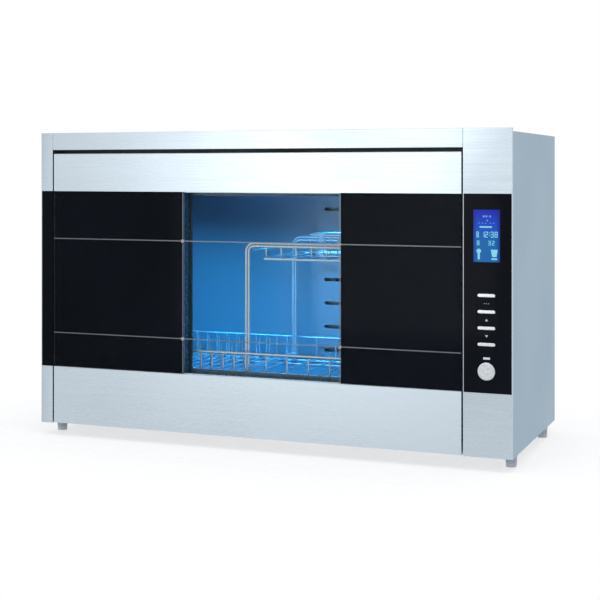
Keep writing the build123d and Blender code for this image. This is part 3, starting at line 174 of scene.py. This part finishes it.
def add_floor():
    """Pale floor that keeps the shadow and fades into the background at its rim."""
    bm = bmesh.new()
    bmesh.ops.create_circle(bm, cap_ends=True, segments=96, radius=FLOOR_RADIUS)
    floor = piece_from(bm, "floor", make_floor_material())
    floor.location = (0, 0, -FLOOR_DROP)


# ---------------------------------------------------------------- meshes
def piece_from(bm, name, material, smooth=False):
    mesh = bpy.data.meshes.new(name)
    bmesh.ops.recalc_face_normals(bm, faces=bm.faces)
    bm.to_mesh(mesh)
    bm.free()
    piece = bpy.data.objects.new(name, mesh)
    piece.data.materials.append(material)
    if smooth:
        mesh.polygons.foreach_set("use_smooth", [True] * len(mesh.polygons))
    bpy.context.scene.collection.objects.link(piece)
    return piece


def add_prism(bm, outline, y_front, y_back):
    """Closed prism from an outline of (x, z) points seen from the front."""
    front = [bm.verts.new((x, y_front, z)) for x, z in outline]
    back = [bm.verts.new((x, y_back, z)) for x, z in outline]
    bm.faces.new(front)
    bm.faces.new(back[::-1])
    count = len(outline)
    for i in range(count):
        j = (i + 1) % count
        bm.faces.new((front[i], back[i], back[j], front[j]))


# ---------------------------------------------------------------- materials
def start_material(name):
    material = bpy.data.materials.new(name)
    material.use_nodes = True
    return material, material.node_tree, material.node_tree.nodes["Principled BSDF"]


def grain(tree, stretch, scale=1.0, detail=3.0, rough=0.5):
    """Noise in the object's own metres, stretched along the axes; returns its factor."""
    coords = tree.nodes.new("ShaderNodeTexCoord")
    mapping = tree.nodes.new("ShaderNodeMapping")
    mapping.inputs["Scale"].default_value = stretch
    noise = tree.nodes.new("ShaderNodeTexNoise")
    noise.inputs["Scale"].default_value = scale
    noise.inputs["Detail"].default_value = detail
    noise.inputs["Roughness"].default_value = rough
    tree.links.new(coords.outputs["Object"], mapping.inputs["Vector"])
    tree.links.new(mapping.outputs[0], noise.inputs["Vector"])
    return noise.outputs["Fac"]


def remap(tree, value, low, high, source=(0.3, 0.7)):
    """Stretch a factor from its usual span to low..high."""
    node = tree.nodes.new("ShaderNodeMapRange")
    node.inputs["From Min"].default_value = source[0]
    node.inputs["From Max"].default_value = source[1]
    node.inputs["To Min"].default_value = low
    node.inputs["To Max"].default_value = high
    tree.links.new(value, node.inputs["Value"])
    return node.outputs[0]


def blend_colours(tree, factor, first, second):
    node = tree.nodes.new("ShaderNodeMix")
    node.data_type = "RGBA"
    colour_sockets = [s for s in node.inputs if s.type == "RGBA"]
    for socket, value in zip(colour_sockets, (first, second)):
        if isinstance(value, tuple):
            socket.default_value = (*value[:3], 1)
        else:
            tree.links.new(value, socket)
    tree.links.new(factor, node.inputs[0])
    return next(s for s in node.outputs if s.type == "RGBA")


def add_bump(tree, shader, height, strength, distance):
    node = tree.nodes.new("ShaderNodeBump")
    node.inputs["Strength"].default_value = strength
    node.inputs["Distance"].default_value = distance
    tree.links.new(height, node.inputs["Height"])
    tree.links.new(node.outputs[0], shader.inputs["Normal"])


def edge_factor(tree, low=0.51, high=0.56):
    """Rises from 0 to 1 on worn outer edges."""
    geometry = tree.nodes.new("ShaderNodeNewGeometry")
    return remap(tree, geometry.outputs["Pointiness"], 0.0, 1.0, (low, high))


def shade(colour, factor):
    return tuple(min(1.0, channel * factor) for channel in colour)


def make_brushed(name, colour, along="X", rough=(0.26, 0.38), metallic=1.0, contrast=0.05,
                 fine=1100.0, coarse=420.0, bump=0.03, worn=True):
    """Brushed sheet: long streaks of tone, fine bumpy grain, smudges and bright edges."""
    material, tree, shader = start_material(name)
    axis = "XYZ".index(along)
    wide = [coarse] * 3
    wide[axis] = 2.0
    narrow = [fine] * 3
    narrow[axis] = 9.0
    streak = grain(tree, wide, detail=4.0, rough=0.6)
    fine_grain = grain(tree, narrow, detail=2.0)
    smudge = grain(tree, (5.0, 5.0, 5.0), detail=2.0)
    tone = blend_colours(tree, remap(tree, streak, 0.0, 1.0), shade(colour, 1 - contrast),
                         shade(colour, 1 + contrast))
    if worn:
        tone = blend_colours(tree, edge_factor(tree), tone, shade(colour, 1.25))
    tree.links.new(tone, shader.inputs["Base Color"])
    base_rough = tree.nodes.new("ShaderNodeMath")
    base_rough.operation = "ADD"
    tree.links.new(remap(tree, fine_grain, rough[0], rough[1]), base_rough.inputs[0])
    tree.links.new(remap(tree, smudge, -0.03, 0.05), base_rough.inputs[1])
    tree.links.new(base_rough.outputs[0], shader.inputs["Roughness"])
    shader.inputs["Metallic"].default_value = metallic
    add_bump(tree, shader, fine_grain, bump, 0.0002)
    return material


def make_moulded(name, colour, rough=0.5, spread=0.12, speckle=1400.0, bump=0.25):
    """Moulded plastic, rubber or ceramic: fine pitted texture and slightly uneven gloss."""
    material, tree, shader = start_material(name)
    pits = grain(tree, (speckle,) * 3, detail=2.0)
    cloud = grain(tree, (14.0,) * 3, detail=3.0)
    tone = blend_colours(tree, remap(tree, cloud, 0.0, 1.0), shade(colour, 0.88),
                         shade(colour, 1.12))
    tone = blend_colours(tree, edge_factor(tree), tone, shade(colour, 1.5))
    tree.links.new(tone, shader.inputs["Base Color"])
    tree.links.new(remap(tree, cloud, rough - spread / 2, rough + spread / 2),
                   shader.inputs["Roughness"])
    add_bump(tree, shader, pits, bump, 0.00015)
    return material


def make_polished(name, colour, rough=(0.05, 0.14), metallic=1.0, bump=0.03):
    """Plated or drawn metal with faint ripples."""
    material, tree, shader = start_material(name)
    ripple = grain(tree, (260.0,) * 3, detail=3.0)
    tone = blend_colours(tree, remap(tree, ripple, 0.0, 1.0), shade(colour, 0.93),
                         shade(colour, 1.04))
    tree.links.new(tone, shader.inputs["Base Color"])
    tree.links.new(remap(tree, ripple, *rough), shader.inputs["Roughness"])
    shader.inputs["Metallic"].default_value = metallic
    add_bump(tree, shader, ripple, bump, 0.0002)
    return material


def make_black_gloss(name, colour=(0.0045, 0.0055, 0.0085), specular=0.03):
    """Black glass: deep tone with faint cloudiness and wipe marks in its gloss."""
    material, tree, shader = start_material(name)
    cloud = grain(tree, (3.0, 3.0, 2.0), detail=4.0)
    wipe = grain(tree, (6.0, 6.0, 60.0), detail=5.0, rough=0.7)
    tone = blend_colours(tree, remap(tree, cloud, 0.0, 1.0), shade(colour, 0.7),
                         shade(colour, 1.5))
    tree.links.new(tone, shader.inputs["Base Color"])
    tree.links.new(remap(tree, wipe, 0.03, 0.11), shader.inputs["Roughness"])
    shader.inputs["Specular IOR Level"].default_value = specular
    return material


def make_clear_glass(name, tint, alpha, specular=0.35):
    """Thin clear pane, seen through with a faint tint."""
    material, tree, shader = start_material(name)
    wipe = grain(tree, (8.0, 8.0, 40.0), detail=5.0, rough=0.7)
    tone = blend_colours(tree, remap(tree, wipe, 0.0, 1.0), shade(tint, 0.9), tint)
    tree.links.new(tone, shader.inputs["Base Color"])
    tree.links.new(remap(tree, wipe, 0.02, 0.08), shader.inputs["Roughness"])
    shader.inputs["Alpha"].default_value = alpha
    shader.inputs["Specular IOR Level"].default_value = specular
    return material


def make_glow(name, colour, strength, base=None, rough=0.2):
    """Lit surface with slightly uneven brightness."""
    material, tree, shader = start_material(name)
    cloud = grain(tree, (90.0, 90.0, 90.0), detail=2.0)
    tone = blend_colours(tree, remap(tree, cloud, 0.0, 1.0), shade(colour, 0.9), colour)
    tree.links.new(tone, shader.inputs["Emission Color"])
    shader.inputs["Emission Strength"].default_value = strength
    shader.inputs["Base Color"].default_value = (*(base or colour), 1)
    shader.inputs["Roughness"].default_value = rough
    return material


def make_display_material():
    """Backlit screen: deep blue at the top, brighter lower down, violet along its rim."""
    material, tree, shader = start_material("display_blue")
    low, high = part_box("display_lens")
    coords = tree.nodes.new("ShaderNodeTexCoord")
    split = tree.nodes.new("ShaderNodeSeparateXYZ")
    tree.links.new(coords.outputs["Object"], split.inputs[0])
    rise = remap(tree, split.outputs["Z"], 0.0, 1.0, (low.z, high.z))
    ramp = tree.nodes.new("ShaderNodeValToRGB")
    stops = [(0.0, (0.005, 0.12, 0.36)), (0.4, (0.004, 0.12, 0.36)), (0.7, (0.004, 0.06, 0.48)),
             (1.0, (0.006, 0.015, 0.36))]
    while len(ramp.color_ramp.elements) < len(stops):
        ramp.color_ramp.elements.new(0.5)
    for element, (place, colour) in zip(ramp.color_ramp.elements, stops):
        element.position = place
        element.color = (*colour, 1)
    tree.links.new(rise, ramp.inputs[0])
    middle_x = (low.x + high.x) / 2
    across = tree.nodes.new("ShaderNodeMath")
    across.operation = "SUBTRACT"
    across.inputs[1].default_value = middle_x
    tree.links.new(split.outputs["X"], across.inputs[0])
    spread = tree.nodes.new("ShaderNodeMath")
    spread.operation = "ABSOLUTE"
    tree.links.new(across.outputs[0], spread.inputs[0])
    half = (high.x - low.x) / 2
    rim = remap(tree, spread.outputs[0], 0.0, 0.85, (half - 6 * MM, half))
    tone = blend_colours(tree, rim, ramp.outputs[0], (0.004, 0.012, 0.20))
    tree.links.new(tone, shader.inputs["Emission Color"])
    shader.inputs["Emission Strength"].default_value = 1.0
    shader.inputs["Base Color"].default_value = (0.004, 0.006, 0.03, 1)
    shader.inputs["Roughness"].default_value = 0.1
    shader.inputs["Specular IOR Level"].default_value = 0.1
    return material


def make_board_material():
    """Green lacquered board with lighter copper tracks."""
    material, tree, shader = start_material("circuit_board")
    tracks = grain(tree, (160.0, 160.0, 320.0), detail=0.0)
    tone = blend_colours(tree, remap(tree, tracks, 0.0, 1.0, (0.52, 0.56)),
                         (0.012, 0.10, 0.045), (0.06, 0.25, 0.10))
    tree.links.new(tone, shader.inputs["Base Color"])
    shader.inputs["Roughness"].default_value = 0.35
    add_bump(tree, shader, tracks, 0.2, 0.0002)
    return material


def make_floor_material():
    """Near-white floor whose opacity falls with the distance from the cabinet's footprint."""
    material, tree, shader = start_material("floor")
    cloud = grain(tree, (2.0, 2.0, 2.0), detail=3.0)
    tone = blend_colours(tree, cloud, (0.90, 0.90, 0.91), (0.95, 0.95, 0.95))
    tree.links.new(tone, shader.inputs["Base Color"])
    shader.inputs["Roughness"].default_value = 0.8
    shader.inputs["Specular IOR Level"].default_value = 0.1
    shader.inputs["Emission Color"].default_value = (1, 1, 1, 1)
    shader.inputs["Emission Strength"].default_value = 0.1
    coords = tree.nodes.new("ShaderNodeTexCoord")
    place = coords.outputs["Object"]
    half = CAD_BOX[1][0], CAD_BOX[1][1], 1.0
    for operation, value in (("ABSOLUTE", None), ("SUBTRACT", half), ("MAXIMUM", (0, 0, 0)),
                             ("LENGTH", None)):
        step = tree.nodes.new("ShaderNodeVectorMath")
        step.operation = operation
        tree.links.new(place, step.inputs[0])
        if value:
            step.inputs[1].default_value = value
        place = step.outputs[0]
    outside = step.outputs["Value"]
    tree.links.new(remap(tree, outside, FLOOR_COVER, 0.0, FLOOR_FADE), shader.inputs["Alpha"])
    return material


MATERIALS = {
    "brushed_stainless": make_brushed("brushed_stainless", (0.39, 0.447, 0.495),
                                      rough=(0.23, 0.33), metallic=0.9),
    "casing_steel": make_brushed("casing_steel", (0.27, 0.365, 0.445), along="Z",
                                 rough=(0.40, 0.50), contrast=0.05, metallic=0.35),
    "plated_steel": make_brushed("plated_steel", (0.55, 0.57, 0.59), rough=(0.42, 0.55),
                                 contrast=0.05, coarse=40.0, worn=False),
    # The liner's dark blue-grey base colour is painted shade inside the chamber and painted
    # blue light from its lamp.
    "liner_steel": make_brushed("liner_steel", (0.22, 0.38, 0.48), rough=(0.38, 0.48),
                                metallic=0.35, contrast=0.05),
    "black_glass": make_black_gloss("black_glass"),
    "clear_glass": make_clear_glass("clear_glass", (0.01, 0.025, 0.04), 0.06, 0.06),
    "black_enamel": make_black_gloss("black_enamel"),
    "silver_inlay": make_polished("silver_inlay", (0.13, 0.15, 0.17), rough=(0.25, 0.4)),
    "chrome_trim": make_polished("chrome_trim", (0.50, 0.53, 0.56), rough=(0.12, 0.26)),
    "black_plastic": make_moulded("black_plastic", (0.012, 0.012, 0.014), rough=0.45),
    "grey_plastic": make_moulded("grey_plastic", (0.33, 0.36, 0.40), rough=0.45),
    "display_blue": make_display_material(),
    "indicator_white": make_glow("indicator_white", (0.55, 0.6, 0.68), 0.3),
    "circuit_board": make_board_material(),
    "lamp_glass": make_glow("lamp_glass", (0.10, 0.42, 1.0), 0.9, base=(0.3, 0.5, 0.95)),
    "quartz": make_moulded("quartz", (0.72, 0.62, 0.52), rough=0.2, bump=0.05),
    "ceramic_white": make_moulded("ceramic_white", (0.74, 0.73, 0.69), rough=0.55),
    "component_steel": make_moulded("component_steel", (0.12, 0.12, 0.13), rough=0.4),
    "seal_rubber": make_moulded("seal_rubber", (0.06, 0.065, 0.07), rough=0.7),
    "runner_zinc": make_brushed("runner_zinc", (0.62, 0.65, 0.68), along="Y",
                                rough=(0.25, 0.36), contrast=0.08),
    # The rack wire's pale cyan base colour is painted blue light from the chamber's lamp on
    # chrome wire.
    "rack_wire": make_polished("rack_wire", (0.76, 0.90, 0.98), rough=(0.15, 0.28),
                               metallic=0.5),
    "fastener_steel": make_polished("fastener_steel", (0.60, 0.61, 0.63), rough=(0.2, 0.35)),
    "magnet_black": make_moulded("magnet_black", (0.04, 0.04, 0.045), rough=0.6),
}


OWN_FINISH = {  # nodes whose finish differs from their slot's
    # The window spacer's dark teal colour is painted blue light and painted shade at the
    # window's edge.
    "window_spacer": make_polished("spacer_painted_blue_light_and_shade", (0.04, 0.14, 0.20), rough=(0.2, 0.3),
                                   metallic=0.4),
    "drawer_inner_panel": make_brushed("dark_steel", (0.07, 0.11, 0.14), rough=(0.35, 0.45),
                                       metallic=0.8),
}


# ---------------------------------------------------------------- CAD nodes
BEVELLED = {  # width in mm
    "drawer_front_panel": 0.5, "left_stile": 0.5, "control_column": 0.5, "top_fascia": 0.5,
    "outer_casing": 0.4, "control_glass": 0.35, "left_stile_glass": 0.35, "drawer_glass": 0.35,
    "groove_trim": 0.2, "display_lens": 0.2,
}
WELD_DISTANCE = 0.01 * MM
BEVEL_ANGLE = 50  # degrees: only edges sharper than this are bevelled
ROUND_ANGLE = 35  # degrees: edges sharper than this stay sharp
FLAT_ANGLE = 25  # the same on bevelled sheet, whose faces stay flat up to the bevel


def dress_node(name, slot):
    """Give a CAD node its material, joined vertices and, on the large sheets, soft edges."""
    node = NODES[name]
    node.data.materials.clear()
    node.data.materials.append(OWN_FINISH.get(name, MATERIALS[slot]))
    weld = node.modifiers.new("weld", "WELD")
    weld.merge_threshold = WELD_DISTANCE
    if name in BEVELLED:
        bevel = node.modifiers.new("bevel", "BEVEL")
        bevel.width = BEVELLED[name] * MM
        bevel.segments = 2
        bevel.limit_method = "ANGLE"
        bevel.angle_limit = math.radians(BEVEL_ANGLE)


def dress_nodes():
    for subpart in frame["record"]["subparts"]:
        dress_node(subpart["node"], subpart["material_slot"])


# ---------------------------------------------------------------- display and marks
SEGMENTS = {  # which of the seven bars are lit: top, top right, low right, low, low left, ...
    "0": "1111110", "1": "0110000", "2": "1101101", "3": "1111001", "5": "1011011",
    "8": "1111111",
}
PROUD = 0.05 * MM  # how far a mark stands out of the surface that it is printed on
# The screen's layout: places are shares of its width from the left and of its height from the
# top, boxes are (left, right, bottom, top) and digits (character, left, width in mm).
HEAD_BAR = (0.24, 0.70, 0.345, 0.315)
BIG_ROW = dict(foot=0.53, height=8.6 * MM, bar=1.2 * MM, digits=(
    ("8", 0.12, 3.6), ("1", 0.31, 4.6), ("2", 0.44, 4.6), ("3", 0.65, 4.6), ("8", 0.80, 4.6)))
COLON = ((0.595, 0.625, 0.45, 0.43), (0.595, 0.625, 0.50, 0.48))
SMALL_ROW = dict(foot=0.68, height=6.8 * MM, bar=1.0 * MM, digits=(
    ("8", 0.14, 3.8), ("3", 0.56, 3.8), ("2", 0.70, 3.8)))
LAMP_HEAD = (0.21, 0.79, 3.4 * MM)  # centre and radius
LAMP_FOOT = (0.17, 0.25, 0.95, 0.83)
CUP = ((0.66, 0.76), (0.92, 0.76), (0.87, 0.90), (0.71, 0.90))
SAUCER = (0.68, 0.90, 0.955, 0.925)
DIM_MARKS = [(left, left + 0.07, 0.145, 0.11) for left in (0.36, 0.46, 0.60)]
DIM_MARKS += [(0.50, 0.56, 0.22, 0.19)]
DIM_MARKS += [(left, left + 0.05, 0.265, 0.25) for left in (0.20, 0.32, 0.44, 0.62, 0.74)]


def add_bar(bm, x0, x1, z0, z1, y_front, y_back):
    add_prism(bm, [(x0, z0), (x1, z0), (x1, z1), (x0, z1)], y_front, y_back)


def add_digit(bm, character, x, z, width, height, bar, y_front, y_back):
    """Seven-bar digit with its lower left corner at x, z."""
    half = height / 2
    gap = bar * 0.15
    bars = [
        (x + gap, x + width - gap, z + height - bar, z + height),
        (x + width - bar, x + width, z + half + gap, z + height - gap),
        (x + width - bar, x + width, z + gap, z + half - gap),
        (x + gap, x + width - gap, z, z + bar),
        (x, x + bar, z + gap, z + half - gap),
        (x, x + bar, z + half + gap, z + height - gap),
        (x + gap, x + width - gap, z + half - bar / 2, z + half + bar / 2),
    ]
    for lit, place in zip(SEGMENTS[character], bars):
        if lit == "1":
            add_bar(bm, *place, y_front, y_back)


def ring_outline(x, z, radius, count=20):
    return [(x + radius * math.cos(2 * math.pi * i / count),
             z + radius * math.sin(2 * math.pi * i / count)) for i in range(count)]


def make_display_figures():
    """Lit figures on the screen: a bar, two rows of digits and two plain symbols."""
    low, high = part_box("display_lens")
    depth = low.y - PROUD, low.y + PROUD

    def x_at(share):
        return low.x + (high.x - low.x) * share

    def z_at(share):
        return high.z - (high.z - low.z) * share

    def add_box(bm, left, right, bottom, top):
        add_bar(bm, x_at(left), x_at(right), z_at(bottom), z_at(top), *depth)

    def add_row(bm, foot, height, bar, digits):
        for character, left, width in digits:
            add_digit(bm, character, x_at(left), z_at(foot), width * MM, height, bar, *depth)

    bright = bmesh.new()
    add_box(bright, *HEAD_BAR)
    add_row(bright, **BIG_ROW)
    for dot in COLON:
        add_box(bright, *dot)
    add_row(bright, **SMALL_ROW)
    share_x, share_z, radius = LAMP_HEAD
    add_prism(bright, ring_outline(x_at(share_x), z_at(share_z), radius), *depth)
    add_box(bright, *LAMP_FOOT)
    add_prism(bright, [(x_at(across), z_at(down)) for across, down in CUP], *depth)
    add_box(bright, *SAUCER)
    figures = piece_from(bright, "display_figures",
                         make_glow("figure_glow", (0.16, 0.55, 0.72), 1.0,
                                   base=(0.02, 0.08, 0.1)))
    dim = bmesh.new()
    for mark in DIM_MARKS:
        add_box(dim, *mark)
    small = piece_from(dim, "display_symbols",
                       make_glow("symbol_glow", (0.12, 0.28, 0.85), 0.8,
                                 base=(0.02, 0.03, 0.1)))
    for piece in (figures, small):
        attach(piece, "cabinet")


ARROW_HALF = 2.2 * MM
ARROW_RISE = 1.7 * MM
DOT_PITCH = 3.2 * MM
DOT_RADIUS = 0.6 * MM


def make_key_marks():
    """Plain printed marks between the keys: three dots, an up and a down arrow, given a faint
    painted glow.
    """
    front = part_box("control_glass")[0].y
    y_front, y_back = front - PROUD, front + PROUD
    keys = [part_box(name) for name in ("clock_button", "up_button", "down_button",
                                      "menu_button", "power_button")]
    middle_x = (keys[0][0].x + keys[0][1].x) / 2
    middles = [(low.z + high.z) / 2 for low, high in keys]
    bm = bmesh.new()
    for upper, lower, turn in ((middles[0], middles[1], None), (middles[1], middles[2], 1),
                               (middles[2], middles[3], -1)):
        z = (upper + lower) / 2
        if turn:
            rise = ARROW_RISE * turn
            add_prism(bm, [(middle_x - ARROW_HALF, z - rise), (middle_x + ARROW_HALF, z - rise),
                           (middle_x, z + rise)], y_front, y_back)
        else:
            for offset in (-DOT_PITCH, 0.0, DOT_PITCH):
                add_prism(bm, ring_outline(middle_x + offset, z, DOT_RADIUS, 12),
                          y_front, y_back)
    # The print also emits a faint light: a painted glow, though the marks are no lamp.
    marks = piece_from(bm, "key_marks", make_glow("mark_print_painted_glow", (0.55, 0.56, 0.60), 0.25,
                                                  base=(0.5, 0.5, 0.55)))
    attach(marks, "cabinet")


STUD_RADIUS = 3.5 * MM
STUD_SIDES = 40
STUD_PROFILE = (  # shares of the radius and of the height, from the middle outwards
    (0.0, 0.55), (0.20, 0.50), (0.36, 0.34), (0.44, 0.12), (0.50, 0.10), (0.56, 0.40),
    (0.66, 0.80), (0.76, 0.98), (0.86, 0.90), (0.95, 0.55), (1.0, 0.0))


def make_stud_rings():
    """Turned rings with a domed centre where the lines cross the pane."""
    low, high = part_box("glass_studs")
    places = [(x, z) for x in (low.x + STUD_RADIUS, high.x - STUD_RADIUS)
              for z in (low.z + STUD_RADIUS, high.z - STUD_RADIUS)]
    bm = bmesh.new()
    for x, z in places:
        rings = []
        for share, height in STUD_PROFILE[1:]:
            y = high.y - height * (high.y - low.y)
            rings.append([bm.verts.new((px, y, pz))
                          for px, pz in ring_outline(x, z, share * STUD_RADIUS, STUD_SIDES)])
        centre = bm.verts.new((x, high.y - STUD_PROFILE[0][1] * (high.y - low.y), z))
        for i in range(STUD_SIDES):
            j = (i + 1) % STUD_SIDES
            bm.faces.new((centre, rings[0][i], rings[0][j]))
            for inner, outer in zip(rings, rings[1:]):
                bm.faces.new((inner[i], outer[i], outer[j], inner[j]))
        bm.faces.new(rings[-1][::-1])
    studs = piece_from(bm, "stud_rings", make_polished("stud_metal", (0.34, 0.35, 0.37)),
                       smooth=True)
    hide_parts("glass_studs")
    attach(studs, "drawer")


def smooth_round_faces():
    """Shade every mesh smooth, except across edges sharper than its limit."""
    rounded = smooth_group("smooth_rounded", ROUND_ANGLE)
    sheet = smooth_group("smooth_sheet", FLAT_ANGLE)
    for piece in bpy.data.objects:
        if piece.type != "MESH" or piece.name == "floor":
            continue
        split = piece.modifiers.new("smooth", "NODES")
        split.node_group = sheet if "bevel" in piece.modifiers else rounded
        flat = piece.modifiers.new("flat_faces", "WEIGHTED_NORMAL")
        flat.keep_sharp = True


def smooth_group(name, degrees):
    """Geometry nodes that shade faces smooth up to an edge angle."""
    group = bpy.data.node_groups.new(name, "GeometryNodeTree")
    group.interface.new_socket("Geometry", in_out="INPUT", socket_type="NodeSocketGeometry")
    group.interface.new_socket("Geometry", in_out="OUTPUT", socket_type="NodeSocketGeometry")
    nodes, links = group.nodes, group.links
    source = nodes.new("NodeGroupInput")
    result = nodes.new("NodeGroupOutput")
    faces = nodes.new("GeometryNodeSetShadeSmooth")
    faces.domain = "FACE"
    edges = nodes.new("GeometryNodeSetShadeSmooth")
    edges.domain = "EDGE"
    edges.inputs["Shade Smooth"].default_value = False
    angle = nodes.new("GeometryNodeInputMeshEdgeAngle")
    sharp = nodes.new("FunctionNodeCompare")
    sharp.operation = "GREATER_THAN"
    sharp.inputs[1].default_value = math.radians(degrees)
    links.new(source.outputs[0], faces.inputs["Geometry"])
    links.new(faces.outputs[0], edges.inputs["Geometry"])
    links.new(angle.outputs["Unsigned Angle"], sharp.inputs[0])
    links.new(sharp.outputs[0], edges.inputs["Selection"])
    links.new(edges.outputs[0], result.inputs[0])
    return group


# ---------------------------------------------------------------- build
bpy.context.scene.view_settings.view_transform = "Standard"
add_camera()
add_world()
add_lights()
add_floor()
dress_nodes()
make_display_figures()
make_key_marks()
make_stud_rings()
smooth_round_faces()
